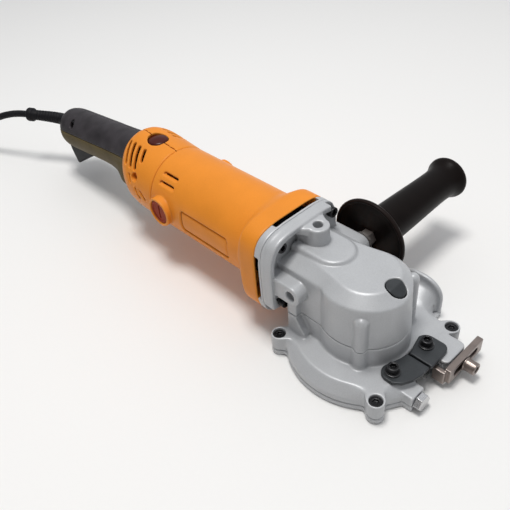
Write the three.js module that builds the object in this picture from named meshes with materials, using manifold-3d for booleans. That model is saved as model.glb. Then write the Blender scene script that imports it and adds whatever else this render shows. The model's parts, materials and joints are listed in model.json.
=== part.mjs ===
// Portable rebar cutting saw: a grinder-class motor drives a flat round blade through a right-angle head.
// Millimetres, +Z up. The origin is on the blade's axis at the underside of the blade case,
// +X runs forward to the notch that takes the bar, and +Y is the side of the side handle.
import * as THREE from 'three';
import { mergeVertices } from 'three/addons/utils/BufferGeometryUtils.js';
import Module from 'manifold-3d';

const wasm = await Module();
wasm.setup();

// ---- driving dimensions ----
const GAP = 0.3; // clearance between touching pieces
const RUN = 0.15; // radial clearance of a shaft in its bore

const BLADE_R = 55; // 110 mm blade
const BLADE_Z = 6; // underside of the blade
const BLADE_T = 1.8;

const CASE_R = 60; // blade case, outer radius
const CASE_SIDE = 11; // height of its upright side
const CASE_FLAT_R = 52.5; // radius where the sloping shoulder meets the flat top
const CASE_TOP = 18.7;
const CASE_ROOF = 3.2;
const CHAMBER_R = 57.2;
const COVER_TOP = 5.4; // the base cover is the lowest part of the case
const COVER_FLOOR = 2.4;
const BOSS_PITCH_R = 64.6; // case screws
const BOSS_R = 6.4;
const SCREW_HEAD_R = 4.6;

const PLATE_SCREW_RIGHT = [40.7, -20.8]; // guard plates and the stopper
const PLATE_SCREW_LEFT = [44, 14.5];
const PLATE_Z = CASE_TOP + GAP;
const PLATE_RIGHT_T = 2.8;
const PLATE_LEFT_T = 3.6;
const STOPPER_BOLT = [27.6, 11.3]; // y and z of its axis
const HEX_BOLT = [-18.6, 7.3];

const NOTCH_Y = [-11.8, 9.8]; // bar notch, side to side
const NOTCH_X = 37; // deepest point of the notch

const MOTOR_Z = 58.7; // motor axis
const PARTING_Z = 36; // joint of the case's collar and the gear head
const COLLAR_R = 35.3;
const HEAD_SIDE = 31; // half width of the gear head
const HEAD_REAR = -61;
const WALL_TOP = 71.8;
const PLATEAU_Z = 79;
const PLATEAU_R = 23;
const SHAFT2_BOSS_Z = 81.5;

const MODULE = 1.25; // second stage, spur
const PINION_TEETH = 9;
const GEAR_TEETH = 40;
const SHAFT2_X = (-MODULE * (PINION_TEETH + GEAR_TEETH)) / 2; // intermediate shaft
const BEVEL_MODULE = 1.1; // first stage, bevel
const BEVEL_PINION_TEETH = 11;
const BEVEL_GEAR_TEETH = 35;
const BEVEL_PINION_R = (BEVEL_MODULE * BEVEL_PINION_TEETH) / 2;
const BEVEL_GEAR_R = (BEVEL_MODULE * BEVEL_GEAR_TEETH) / 2;
const BEVEL_FACE = 6;

const FLANGE_A = 44.3; // the square flange from the motor axis to its -Y side
const FLANGE_A_LEFT = 36.5; // to its +Y side
const FLANGE_B = 39.5; // to its top and bottom
const FLANGE_POWER = 4.3;
const FLANGE_FRONT = -52.3;
const FLANGE_FLOOR = -60;
const FLANGE_REAR = -62.8;
const PLATE_FRONT = FLANGE_REAR - GAP;
const PLATE_REAR = -69.3;
const HOUSING_FRONT = PLATE_REAR - GAP;
const HOUSING_BLOCK = -84; // the square block ends and the flare begins
const HOUSING_ROUND = -98; // the round barrel begins
const MOTOR_R = 36.3;
const HOUSING_REAR = -211.4;
const COVER_REAR = -267;
const HEAD_SCREW_Y = 28;
const HEAD_SCREW_Z = 27.5;
const BRUSH_X = -194.7;
const BRUSH_HOLE_R = 11.1;
const COMMUTATOR_R = 13;
const BUTTON_X = -238.5;
const BUTTON_HOLE_R = 9.6;

const LOCK_X = 23.5; // spindle lock button
const LOCK_R = 7.2;
const SIDE_BOSS_X = -37.2; // side handle sockets, at the height of the motor axis
const SIDE_BOSS_R = 8.3;
const SIDE_BOSS_Y = 41;

const HANDLE_ROOT = new THREE.Vector3(-267.3, 0, 68.3);
const HANDLE_DROOP = THREE.MathUtils.degToRad(6); // the rear end hangs lower than the root
const HANDLE_LENGTH = 146;
const RELIEF_RISE = 3.9; // height of the cord's exit above the handle's axis
const SEAM_RISE = 5.5; // the shells meet this far above the handle's axis
const TRIGGER_HALF = 12.6;
const HANDLE_SCREW = [-110.5, 14.5]; // back from the root and up from the handle's axis

const CORD_R = 3.8;
const CORD_EXIT = [-463.5, -25.5, 60.8];
const CORD_ROUTE = [
  CORD_EXIT,
  [-477, -32, 60],
  [-491, -38.7, 57],
  [-505, -45, 52],
  [-520, -51.5, 44.5],
  [-536, -59, 34.5],
  [-552, -68, 23.5],
  [-568, -78.5, 13.5],
  [-584, -90.5, 6.5],
  [-601, -104.5, CORD_R],
];
const COIL_CENTRE = [-565.8, -147.3];
const COIL_R = 44; // middle of the turns
const COIL_HALF_W = 4 * CORD_R;
const COIL_H = 4 * CORD_R;
const TAIL_ROUTE = [
  [-556.2, -201.9, 3 * CORD_R],
  [-543, -199.5, 10.9],
  [-528, -196.7, 10.2],
  [-513, -194.4, 9.8],
  [-498, -192.3, 9.6],
];

// ---- solids ----
function closedMesh(geometry) {
  const bare = geometry.clone();
  bare.deleteAttribute('normal');
  bare.deleteAttribute('uv');
  const merged = mergeVertices(bare, 1e-4);
  const p = merged.attributes.position.array;
  const source = merged.index.array;
  const corner = (i) => new THREE.Vector3(p[3 * i], p[3 * i + 1], p[3 * i + 2]);
  const index = [];
  let volume = 0;
  for (let t = 0; t < source.length; t += 3) {
    const [a, b, c] = [source[t], source[t + 1], source[t + 2]];
    if (a === b || b === c || c === a) continue;
    volume += corner(a).dot(corner(b).cross(corner(c)));
    index.push(a, b, c);
  }
  if (volume < 0) index.reverse();
  return new wasm.Mesh({
    numProp: 3,
    vertProperties: new Float32Array(p),
    triVerts: new Uint32Array(index),
  });
}

const solid = (shape) => (shape.isBufferGeometry ? new wasm.Manifold(closedMesh(shape)) : shape);
const join = (...shapes) => shapes.map(solid).reduce((a, b) => a.add(b));
const cut = (body, ...tools) => tools.map(solid).reduce((a, b) => a.subtract(b), solid(body));
const meet = (a, b) => solid(a).intersect(solid(b));

function geometryOf(shape) {
  const mesh = solid(shape).getMesh();
  const geometry = new THREE.BufferGeometry();
  geometry.setAttribute('position', new THREE.BufferAttribute(mesh.vertProperties, 3));
  geometry.setIndex(new THREE.BufferAttribute(mesh.triVerts, 1));
  geometry.computeVertexNormals();
  return geometry;
}

const ordered = (a, b) => (a < b ? [a, b] : [b, a]);

const upright = (geometry) => geometry.rotateX(Math.PI / 2);
const facingX = (geometry) => geometry.rotateY(Math.PI / 2);
const facingY = (geometry) => geometry.rotateX(-Math.PI / 2);

// A round bar from z0 to z1; r1 is its radius at z1.
function rod(r, z0, z1, x = 0, y = 0, sides = 16, r1 = r) {
  const geometry = upright(new THREE.CylinderGeometry(r1, r, z1 - z0, sides));
  return geometry.translate(x, y, (z0 + z1) / 2);
}

const rodX = (r, x0, x1, y, z, sides = 16, r1 = r) =>
  facingX(rod(r, x0, x1, 0, 0, sides, r1)).translate(0, y, z);

const rodY = (r, y0, y1, x, z, sides = 16, r1 = r) =>
  facingY(rod(r, y0, y1, 0, 0, sides, r1)).translate(x, 0, z);

function box(x0, x1, y0, y1, z0, z1) {
  const geometry = new THREE.BoxGeometry(x1 - x0, y1 - y0, z1 - z0);
  return geometry.translate((x0 + x1) / 2, (y0 + y1) / 2, (z0 + z1) / 2);
}

// A profile of [radius, height] pairs turned about the Z axis.
function turned(profile, sides = 48) {
  const points = profile.map(([r, z]) => new THREE.Vector2(r, z));
  return upright(new THREE.LatheGeometry(points, sides));
}

function prism(outline, z0, z1, steps = 1) {
  const shape = new THREE.Shape(outline.map(([x, y]) => new THREE.Vector2(x, y)));
  const geometry = new THREE.ExtrudeGeometry(shape, { depth: z1 - z0, bevelEnabled: false, steps });
  return geometry.translate(0, 0, z0);
}

// An outline in X and Z, given depth from y0 to y1.
const slabXZ = (outline, y0, y1) =>
  prism(outline.map(([x, z]) => [x, -z]), y0, y1).rotateX(-Math.PI / 2);

// Moves each corner of a geometry by a function of its place.
function reshape(geometry, move) {
  const position = geometry.attributes.position;
  const point = new THREE.Vector3();
  for (let i = 0; i < position.count; i += 1) {
    point.fromBufferAttribute(position, i);
    move(point);
    position.setXYZ(i, point.x, point.y, point.z);
  }
  return geometry;
}

// A body through rings of [x, y, z] points, each ring with as many points as the next.
function loft(rings) {
  const count = rings[0].length;
  const points = rings.flat();
  const index = [];
  const at = (ring, i) => ring * count + (i % count);
  for (let r = 0; r + 1 < rings.length; r += 1) {
    for (let i = 0; i < count; i += 1) {
      index.push(at(r, i), at(r, i + 1), at(r + 1, i + 1), at(r, i), at(r + 1, i + 1), at(r + 1, i));
    }
  }
  const last = rings.length - 1;
  [0, last].forEach((r) => {
    const sum = rings[r].reduce((a, b) => a.map((v, k) => v + b[k]), [0, 0, 0]);
    points.push(sum.map((v) => v / count));
    const centre = points.length - 1;
    for (let i = 0; i < count; i += 1) {
      index.push(centre, at(r, r === last ? i : i + 1), at(r, r === last ? i + 1 : i));
    }
  });
  const geometry = new THREE.BufferGeometry();
  geometry.setAttribute('position', new THREE.Float32BufferAttribute(points.flat(), 3));
  geometry.setIndex(index);
  return geometry;
}

// A ring-shaped body through sections that lead back to the first one.
function closedLoop(sections) {
  const sides = sections[0].length;
  const at = (section, i) => (section % sections.length) * sides + (i % sides);
  const index = [];
  for (let n = 0; n < sections.length; n += 1) {
    for (let i = 0; i < sides; i += 1) {
      index.push(at(n, i), at(n, i + 1), at(n + 1, i + 1), at(n, i), at(n + 1, i + 1), at(n + 1, i));
    }
  }
  const geometry = new THREE.BufferGeometry();
  geometry.setAttribute('position', new THREE.Float32BufferAttribute(sections.flat(2), 3));
  geometry.setIndex(index);
  return geometry;
}

const arc = (x, y, r, from, to, count) =>
  Array.from({ length: count + 1 }, (_, i) => {
    const a = THREE.MathUtils.degToRad(from + ((to - from) * i) / count);
    return [x + r * Math.cos(a), y + r * Math.sin(a)];
  });

function hexagon(r) {
  return arc(0, 0, r, 0, 300, 5);
}

// ---- looks ----
const LOOKS = {
  casting: [0xbec0c2, 0.45, 0.5],
  orange: [0xee9432, 0.5, 0],
  charcoal: [0x4b484e, 0.65, 0],
  black: [0x17171a, 0.5, 0],
  blackSteel: [0x222226, 0.45, 0.7],
  plate: [0x3c3f42, 0.5, 0.4],
  steel: [0xa8a4a2, 0.35, 0.9],
  copper: [0xa8592c, 0.4, 0.8],
  iron: [0x6e6e70, 0.6, 0.8],
  brass: [0xb08a3e, 0.35, 0.8],
  maroon: [0x3a1716, 0.35, 0],
  capBrown: [0x8c3a22, 0.5, 0],
};

const model = new THREE.Group();

function piece(name, shape, look) {
  const [color, roughness, metalness] = LOOKS[look];
  const material = new THREE.MeshStandardMaterial({ color, roughness, metalness });
  const mesh = new THREE.Mesh(geometryOf(shape), material);
  mesh.name = name;
  model.add(mesh);
}

// ---- blade case ----
const bossPlaces = [45, 135, 225, 315].map((deg) => {
  const a = THREE.MathUtils.degToRad(deg);
  return [BOSS_PITCH_R * Math.cos(a), BOSS_PITCH_R * Math.sin(a)];
});

const notchCut = () => box(NOTCH_X, 90, NOTCH_Y[0], NOTCH_Y[1], -1, CASE_TOP + 1);

// The neck that ties a screw boss to the round case.
function bossNeck([x, y], z0, z1) {
  const angle = Math.atan2(y, x);
  return box(44, BOSS_PITCH_R, -5, 5, z0, z1).rotateZ(angle);
}

// Chute section in X and Z; the mouth faces +Y.
const CHUTE = [[-12, 2.7], [21.5, 2.7], [21.5, 21], [12, 28.5], [-6, 28.5], [-12, 22]];
const CHUTE_BORE = [
  [-10, COVER_TOP + GAP], [19.5, COVER_TOP + GAP], [19.5, 20], [11, 26.5], [-5.5, 26.5], [-10, 21],
];
const CHUTE_LIP = [[-16, 0.4], [25.5, 0.4], [25.5, 25.5], [15, 35], [-6.5, 35], [-16, 25]];
const CHUTE_Y = [40, 63, 66.5]; // root, back of the lip, mouth

function sloped(outline, y0, y1) {
  const low = 10;
  return reshape(slabXZ(outline, y0, y1), (p) => {
    const along = THREE.MathUtils.clamp((p.y - CHUTE_Y[0]) / (CHUTE_Y[1] - CHUTE_Y[0]), 0, 1);
    if (p.z > low) p.z = low + (p.z - low) * (0.35 + 0.65 * along);
  });
}

const EAR = [
  [-44, CASE_TOP - 1], [-27.5, CASE_TOP - 1], [-27.5, CASE_TOP + 3], [-35.5, PARTING_Z - 2],
  [-35.5, PARTING_Z - 0.15], [-44, PARTING_Z - 0.15],
];

// Plan of the head: a round nose and straight sides; `less` is how much smaller it is towards +Y.
function headPlan(nose, side, less = 0, rearSide = side) {
  const turn = 180 - THREE.MathUtils.radToDeg(Math.asin(side / nose));
  const front = arc(0, 0, 1, -turn, turn, 18).map(([c, s]) => {
    const r = nose - less * THREE.MathUtils.smoothstep(s, -0.3, 0.7);
    return [r * c, r * s];
  });
  return [[HEAD_REAR, -rearSide], ...front, [HEAD_REAR, rearSide - less * 0.8]];
}

const levelRing = (outline, z) => outline.map(([x, y]) => [x, y, z]);

function bladeCase() {
  const z0 = COVER_TOP + GAP;
  const shell = turned([
    [0, z0], [CASE_R, z0], [CASE_R - 0.3, CASE_SIDE], [CASE_FLAT_R, CASE_TOP], [0, CASE_TOP],
  ], 44);
  const collarPlan = headPlan(COLLAR_R, HEAD_SIDE, 2);
  const collar = meet(prism(collarPlan, CASE_TOP - 1, PARTING_Z - 0.15), box(-51, 60, -60, 60, 0, 60));
  const bosses = bossPlaces.map(([x, y]) => rod(BOSS_R, z0, CASE_TOP, x, y, 14));
  const necks = bossPlaces.map((place) => bossNeck(place, z0, CASE_TOP - 3));
  const ribs = [-1, 1].map((s) => rod(4.8, CASE_TOP - 1, PARTING_Z - 0.15, 18.3, s * 29.3, 16));
  const ears = [slabXZ(EAR, -37.3, -30), slabXZ(EAR, 30, 37.3)];
  const lugLeft = box(44, 63.3, 12.5, 33.5, z0, CASE_TOP);
  const lugLeftEnd = rod(4, z0, CASE_TOP, 59.3, 33.5, 12);
  const lugRight = box(46, 61.6, -26, NOTCH_Y[0], z0, 14.2);
  const chute = sloped(CHUTE.map(([x, z]) => [x, Math.max(z, z0)]), CHUTE_Y[0], CHUTE_Y[1] + 0.5);
  const lip = slabXZ(CHUTE_LIP.map(([x, z]) => [x, Math.max(z, z0)]), CHUTE_Y[1], CHUTE_Y[2]);
  const lugs = [lugLeft, lugLeftEnd, lugRight];
  const body = join(shell, collar, ...bosses, ...necks, ...ribs, ...ears, ...lugs, chute, lip);
  const ceiling = CASE_TOP - CASE_ROOF;
  const chamber = turned([
    [0, z0 - 1], [CHAMBER_R, z0 - 1], [CHAMBER_R, 9.5], [50.5, ceiling], [0, ceiling],
  ], 32);
  const chuteBore = sloped(CHUTE_BORE.map(([x, z]) => [x, z > 6 ? z : z0 - 1]), 42, CHUTE_Y[2] + 1);
  const seats = [
    rod(15.3, 22, 50, 0, 0, 20), // lower spindle bearing
    rod(9, ceiling - 1, 23), // spindle passage
    rod(8.2, 28.7, 50, SHAFT2_X, 0, 20), // lower bearing of the intermediate shaft
  ];
  const screwHoles = bossPlaces.flatMap(([x, y]) => [
    rod(2.8, z0 - 1, 14.5, x, y, 8),
    rod(5, 13.4, CASE_TOP + 1, x, y, 12),
  ]);
  const legPocket = box(55.3, 70, 8, 20.5, z0 - 1, 16.7); // the stopper's leg slides here
  const plateHoles = [PLATE_SCREW_RIGHT, PLATE_SCREW_LEFT].map(([x, y]) =>
    rod(2.8, 13, CASE_TOP + 1, x, y, 12));
  const boltHoles = [
    rodX(3.3, 50, 70, STOPPER_BOLT[0], STOPPER_BOLT[1], 12),
    rodX(4.4, 50, 70, HEX_BOLT[0], HEX_BOLT[1], 10),
  ];
  const holes = [...screwHoles, ...plateHoles, ...boltHoles];
  return cut(body, chamber, chuteBore, notchCut(), ...seats, ...holes, legPocket);
}

function baseCover() {
  const plate = turned([[0, 0], [CASE_R - 0.4, 0], [CASE_R, 0.6], [CASE_R, COVER_TOP], [0, COVER_TOP]], 44);
  const bossProfile = [
    [0, 0], [BOSS_R - 2.6, 0], [BOSS_R - 0.7, 0.9], [BOSS_R, 2.8], [BOSS_R, COVER_TOP], [0, COVER_TOP],
  ];
  const bosses = bossPlaces.map(([x, y]) => turned(bossProfile, 14).translate(x, y, 0));
  const necks = bossPlaces.map((place) => bossNeck(place, 1.2, COVER_TOP));
  const lug = box(46, 61.6, -26, NOTCH_Y[0], 0, COVER_TOP);
  const chuteBase = CHUTE_LIP.map(([x, z]) => [x, Math.min(z, COVER_TOP)]);
  const body = join(plate, ...bosses, ...necks, lug, slabXZ(chuteBase, CHUTE_Y[0], CHUTE_Y[2]));
  const chuteFloor = box(-10, 19.5, 42, CHUTE_Y[2] + 1, COVER_FLOOR, COVER_TOP + 1);
  const pocket = rod(CHAMBER_R, COVER_FLOOR, COVER_TOP + 1, 0, 0, 32);
  const screws = bossPlaces.map(([x, y]) => rod(2.45, 1.6, COVER_TOP + 1, x, y, 8));
  const legPocket = box(55.3, 70, 8, 20.5, 4.2, COVER_TOP + 1);
  const boltHole = rodX(4.4, 50, 70, HEX_BOLT[0], HEX_BOLT[1], 10);
  return cut(body, pocket, chuteFloor, notchCut(), ...screws, legPocket, boltHole);
}

function caseScrew([x, y]) {
  const head = rod(SCREW_HEAD_R, 13.7, 17.2, x, y, 12);
  const socket = rod(2.2, 15.4, 18, x, y, 6);
  return cut(join(head, rod(2.2, 2, 14, x, y, 8)), socket);
}

// ---- guard plates, stopper and lug bolts ----
function guardPlateRight() {
  const outline = [
    ...arc(PLATE_SCREW_RIGHT[0], PLATE_SCREW_RIGHT[1], 8, 165, 262, 8),
    [46, -28.6], [51.4, -24.6], [55.3, -17], [57, -9], [57.3, -0.4],
    [38.2, -0.4], [37.3, -6.5], [35, -13.5],
  ];
  const hole = rod(2.8, 18, 25, ...PLATE_SCREW_RIGHT, 12);
  return cut(prism(outline, PLATE_Z, PLATE_Z + PLATE_RIGHT_T), hole);
}

function guardPlateLeft() {
  const outline = [
    [57.6, 0.6], [58.2, 2], [58, 12],
    ...arc(52, 19, 5.6, 0, 90, 5),
    ...arc(43, 16.6, 8, 90, 170, 6),
    [37.2, 9], [39.8, 0.6],
  ];
  const hole = rod(2.8, 18, 25, ...PLATE_SCREW_LEFT, 12);
  return cut(prism(outline, PLATE_Z, PLATE_Z + PLATE_LEFT_T), hole);
}

// Socket cap screw with its washer, standing on a guard plate.
function plateScrew([x, y], plateTop) {
  const seat = plateTop + GAP;
  const washer = rod(5.6, seat, seat + 1.1, x, y, 14);
  const head = rod(4.2, seat + 1, seat + 6.2, x, y, 14);
  const socket = rod(2.4, seat + 3.4, seat + 7, x, y, 6);
  return cut(join(washer, head, rod(2.5, 13.2, seat + 1, x, y, 8)), socket);
}

// L-shaped stopper: a slotted bar across the front and a leg beside the notch.
function stopper() {
  const bar = box(63.9, 69, 8.4, 51.2, 4.9, 17.7);
  const slotEnds = [17.3, 41.5].map((y) => rodX(3.3, 60, 72, y, STOPPER_BOLT[1], 16));
  const slot = box(60, 72, 17.3, 41.5, STOPPER_BOLT[1] - 3.3, STOPPER_BOLT[1] + 3.3);
  const leg = box(56.2, 66, 5.4, 9.2, 4.6, 16.2);
  return cut(join(bar, leg), ...slotEnds, slot);
}

function stopperBolt() {
  const [y, z] = STOPPER_BOLT;
  const washer = rodX(5.2, 69.3, 70.4, y, z, 14);
  const head = rodX(4.9, 70.3, 78.5, y, z, 14);
  const socket = rodX(2.7, 75, 80, y, z, 6);
  return cut(join(washer, head, rodX(2.9, 54, 70.4, y, z, 8)), socket);
}

function hexBolt() {
  const [y, z] = HEX_BOLT;
  const head = facingX(prism(hexagon(6.9), 61.9, 67)).translate(0, y, z);
  return join(head, rodX(3.9, 53, 62, y, z, 10));
}

// The square flange's outline in Y and Z; it is narrower on the side handle's side.
const superellipse = (inset, count = 40) =>
  Array.from({ length: count }, (_, i) => {
    const t = (2 * Math.PI * i) / count;
    const [c, s] = [Math.cos(t), Math.sin(t)];
    const a = (c > 0 ? FLANGE_A_LEFT : FLANGE_A) - inset;
    const b = FLANGE_B - inset;
    const r = (Math.abs(c / a) ** FLANGE_POWER + Math.abs(s / b) ** FLANGE_POWER) ** (-1 / FLANGE_POWER);
    return [r * c, MOTOR_Z + r * s];
  });

// An outline in Y and Z, given depth from x0 to x1.
const slabYZ = (outline, x0, x1) => {
  const swapped = outline.map(([y, z]) => [-z, y]);
  return facingX(prism(swapped, x0, x1));
};

function headShell() {
  const shell = loft([
    levelRing(headPlan(35.2, HEAD_SIDE, 2.2), PARTING_Z + 0.15),
    levelRing(headPlan(34.6, 29.9, 3.2), WALL_TOP - 1.2),
    levelRing(headPlan(33.9, 29.2, 3.4), WALL_TOP),
    levelRing(headPlan(24, 23, 0.4, 13), PLATEAU_Z - 0.8),
    levelRing(headPlan(PLATEAU_R - 0.4, 21.6, 0, 11.6), PLATEAU_Z),
  ]);
  const bossRing = (r, z) => levelRing([[-56, -r], ...arc(SHAFT2_X, 0, r, -90, 90, 10), [-56, r]], z);
  const boss = loft([
    bossRing(16.8, 77), bossRing(16.2, 80), bossRing(14.6, 81.2), bossRing(12.6, SHAFT2_BOSS_Z + 0.2),
  ]);
  return join(shell, boss);
}

function headFlange() {
  const plate = slabYZ(superellipse(0), FLANGE_REAR, FLANGE_FLOOR);
  const ring = slabYZ(superellipse(0), FLANGE_FLOOR - 1, FLANGE_FRONT);
  const rim = cut(ring, slabYZ(superellipse(5), -70, -40), box(FLANGE_FLOOR, -40, 23, 60, 10, 110));
  return join(plate, rim);
}

function sideBoss(sign) {
  const top = MOTOR_Z + SIDE_BOSS_R;
  const low = MOTOR_Z - SIDE_BOSS_R;
  const outline = [[-61, low], ...arc(SIDE_BOSS_X, MOTOR_Z, SIDE_BOSS_R, -90, 90, 12), [-61, top]];
  const leg = box(-43.6, -35.6, ...ordered(29 * sign, 36.8 * sign), PARTING_Z + 0.15, MOTOR_Z);
  return join(slabXZ(outline, ...ordered(28 * sign, SIDE_BOSS_Y * sign)), leg);
}

function topEye() {
  const eye = rod(8.8, 79, 96, -46, 0, 18);
  const neck = box(-60, -46, -8.8, 8.8, 79, 96);
  const spread = prism([[-60, -15], [-54, -14], [-46, -8.7], [-46, 8.7], [-54, 14], [-60, 15]], 90, 96);
  return join(eye, neck, spread);
}

function gearHead() {
  const ribs = [-29.3, 29.3].map((y) =>
    join(rod(4.6, PARTING_Z + 0.15, 63.5, 18.3, y, 16), rod(4.6, 63.4, 66.5, 18.3, y, 16, 1.8)));
  const body = join(headShell(), headFlange(), sideBoss(-1), sideBoss(1), topEye(), ...ribs);
  const base = PARTING_Z - 1;
  const cavity = meet(prism(headPlan(31, 27, 3.2), base, 69.5), box(-57, 60, -60, 60, 0, 90));
  const seats = [
    rod(11.2, 69, 76.6, 0, 0, 20), // upper spindle bearing
    rod(8.2, 69, 78.4, SHAFT2_X, 0, 20), // upper bearing of the intermediate shaft
    rod(LOCK_R + 0.2, 60, 90, LOCK_X, 0, 18), // spindle lock button
    rodX(17, -70, -50, 0, MOTOR_Z, 20), // motor shaft
  ];
  const sockets = [-1, 1].map((s) => {
    return rodY(4.1, ...ordered(31 * s, 45 * s), SIDE_BOSS_X, MOTOR_Z, 14);
  });
  const eyeHole = rod(3.7, 84, 98, -46, 0, 12);
  const screws = headScrewPlaces.map(([y, z]) => rodX(2.8, -70, -50, y, z, 8));
  return cut(body, cavity, ...seats, ...sockets, eyeHole, ...screws);
}

const headScrewPlaces = [[-1, -1], [1, -1], [-1, 1], [1, 1]].map(([a, b]) =>
  [a * HEAD_SCREW_Y, MOTOR_Z + b * HEAD_SCREW_Z]);

function headScrew([y, z]) {
  const head = rodX(4.3, FLANGE_FLOOR + GAP, -54.2, y, z, 12);
  const socket = rodX(2.2, -57, -53, y, z, 6);
  return cut(join(head, rodX(2.45, -80, FLANGE_FLOOR + 1, y, z, 8)), socket);
}

// Carries the motor's front bearing; its notched edges are the cooling air's way out.
function bearingPlate() {
  const plate = slabYZ(superellipse(0), PLATE_REAR, PLATE_FRONT);
  const hub = rodX(16.7, -73, PLATE_FRONT, 0, MOTOR_Z, 20);
  const bearingSeat = rodX(13.3, -80, -63.9, 0, MOTOR_Z, 20);
  const passage = rodX(9, -80, -60, 0, MOTOR_Z, 16);
  const screws = headScrewPlaces.map(([y, z]) => rodX(2.8, -80, -60, y, z, 8));
  const vents = [
    box(-70, -66.4, -23, 23, 88, 100),
    box(-70, -66.4, -46, -31, 39, 80),
    box(-70, -66.4, 28, 40, 39, 80),
  ];
  return cut(join(plate, hub), bearingSeat, passage, ...screws, ...vents);
}

// The button's top follows the head: flat at the back, sloping to the front.
function lockButton() {
  const body = rod(LOCK_R - 0.3, 70.2, 84, LOCK_X, 0, 18);
  const profile = [[0, 60], [50, 60], [50, 64], [34.4, 71.2], [PLATEAU_R + 0.5, 78.6], [0, 78.6]];
  const top = slabXZ(profile, -20, 20);
  return join(meet(body, top), rod(2.2, 67.6, 71, 19.3, 0, 8));
}

// ---- gears ----
// Involute outline of a spur gear with its first tooth on +X.
function spurOutline(teeth, module, tip, root, thickness) {
  const pressure = THREE.MathUtils.degToRad(25);
  const pitchR = (module * teeth) / 2;
  const baseR = pitchR * Math.cos(pressure);
  const inv = (a) => Math.tan(a) - a;
  const halfAngle = (r) => {
    const a = Math.acos(Math.min(1, baseR / Math.max(r, baseR)));
    return thickness / (2 * pitchR) + inv(pressure) - inv(a);
  };
  const radii = [root, tip];
  const outline = [];
  for (let i = 0; i < teeth; i += 1) {
    const centre = (2 * Math.PI * i) / teeth;
    radii.forEach((r) => outline.push([r, centre - halfAngle(r)]));
    [...radii].reverse().forEach((r) => outline.push([r, centre + halfAngle(r)]));
  }
  return outline.map(([r, a]) => [r * Math.cos(a), r * Math.sin(a)]);
}

const bevelApex = new THREE.Vector3(SHAFT2_X, 0, MOTOR_Z);

function bevelPinion() {
  const [tip, root] = [BEVEL_PINION_R + 0.55, BEVEL_PINION_R - 1];
  const outline = spurOutline(BEVEL_PINION_TEETH, BEVEL_MODULE, tip, root, 1.4);
  const turn = Math.PI / BEVEL_PINION_TEETH; // a tooth space faces the gear below
  const meshed = outline.map(([y, z]) => {
    const a = -Math.PI / 2 + turn;
    return [y * Math.cos(a) - z * Math.sin(a), y * Math.sin(a) + z * Math.cos(a)];
  });
  const back = SHAFT2_X - BEVEL_GEAR_R;
  const teeth = reshape(slabYZ(meshed, back, back + BEVEL_FACE), (p) => {
    const scale = (bevelApex.x - p.x) / BEVEL_GEAR_R;
    p.y *= scale;
    p.z *= scale;
  }).translate(0, 0, MOTOR_Z);
  return cut(teeth, rodX(3 + RUN, back - 5, back + 20, 0, MOTOR_Z, 16));
}

// Straight teeth facing up on a cone, on a hub; the first tooth is on -X.
function bevelGear() {
  const inner = BEVEL_GEAR_R - BEVEL_FACE;
  const pitch = (2 * Math.PI) / BEVEL_GEAR_TEETH;
  const station = (turn, height) => {
    const corner = (r, z) => [-r * Math.cos(turn), -r * Math.sin(turn), z];
    const top = (r) => corner(r, ((height - BEVEL_PINION_R) * r) / BEVEL_GEAR_R);
    return [corner(inner, -12.5), corner(BEVEL_GEAR_R, -10.5), top(BEVEL_GEAR_R), top(inner)];
  };
  const stations = Array.from({ length: BEVEL_GEAR_TEETH }, (_, i) => [
    station((i - 0.14) * pitch, 0.5),
    station((i + 0.14) * pitch, 0.5),
    station((i + 0.5) * pitch, -1.25),
  ]).flat();
  const crown = closedLoop(stations);
  const hub = rod(inner + 0.6, -13.5, -5.6, 0, 0, 24);
  const gear = geometryOf(join(crown, hub)).translate(bevelApex.x, bevelApex.y, bevelApex.z);
  return cut(gear, rod(5 + RUN, 30, 60, SHAFT2_X, 0, 16));
}

// Shaft with the spur pinion cut on it.
function intermediateShaft() {
  const outline = spurOutline(PINION_TEETH, MODULE, 6.6, 4.1, 1.75);
  const turn = Math.PI / PINION_TEETH;
  const pinion = prism(outline, 57.7, 68.2).rotateZ(turn).translate(SHAFT2_X, 0, 0);
  const shaft = rod(4, 29.2, 77.6, SHAFT2_X, 0, 16);
  return join(pinion, shaft, rod(5, 37, 57.5, SHAFT2_X, 0, 16));
}

// The lock pin runs in the groove of the web, above two holes that take it when they line up.
function spindleGear() {
  const outline = spurOutline(GEAR_TEETH, MODULE, 25.9, 23.4, 1.75);
  const wheel = prism(outline, 58.5, 67.2);
  const bore = rod(7 + RUN, 50, 70, 0, 0, 16);
  const lockHoles = [0, 1].map((i) => rod(3.1, 50, 70, 19.3, 0, 8).rotateZ(i * Math.PI));
  const groove = cut(rod(22, 64.2, 70, 0, 0, 20), rod(16.4, 60, 75, 0, 0, 16));
  return cut(wheel, bore, groove, ...lockHoles);
}

function spindle() {
  return turned([
    [0, BLADE_Z + GAP], [4.8, BLADE_Z + GAP], [4.8, 13.3], [7.5, 13.3], [7.5, 35], [9, 35], [9, 58.2],
    [7, 58.2], [7, 68], [5, 68], [5, 76.2], [0, 76.2],
  ], 16);
}

// ---- blade set ----
function blade() {
  const teeth = 24;
  const outline = [];
  for (let i = 0; i < teeth; i += 1) {
    const a = (2 * Math.PI * i) / teeth;
    const pitch = (2 * Math.PI) / teeth;
    outline.push([BLADE_R, a], [BLADE_R - 0.6, a + pitch * 0.45], [BLADE_R - 4, a + pitch * 0.62]);
    outline.push([BLADE_R - 4.6, a + pitch * 0.85]);
  }
  const disc = prism(outline.map(([r, a]) => [r * Math.cos(a), r * Math.sin(a)]), BLADE_Z, BLADE_Z + BLADE_T);
  return cut(disc, rod(5.1, 0, 20, 0, 0, 16));
}

function innerFlange() {
  const z0 = BLADE_Z + BLADE_T + 0.2;
  const cone = turned([[0, z0], [19, z0], [19, z0 + 2], [9, z0 + 5], [0, z0 + 5]], 20);
  return cut(cone, rod(4.8 + RUN, 0, 20, 0, 0, 16));
}

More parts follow.
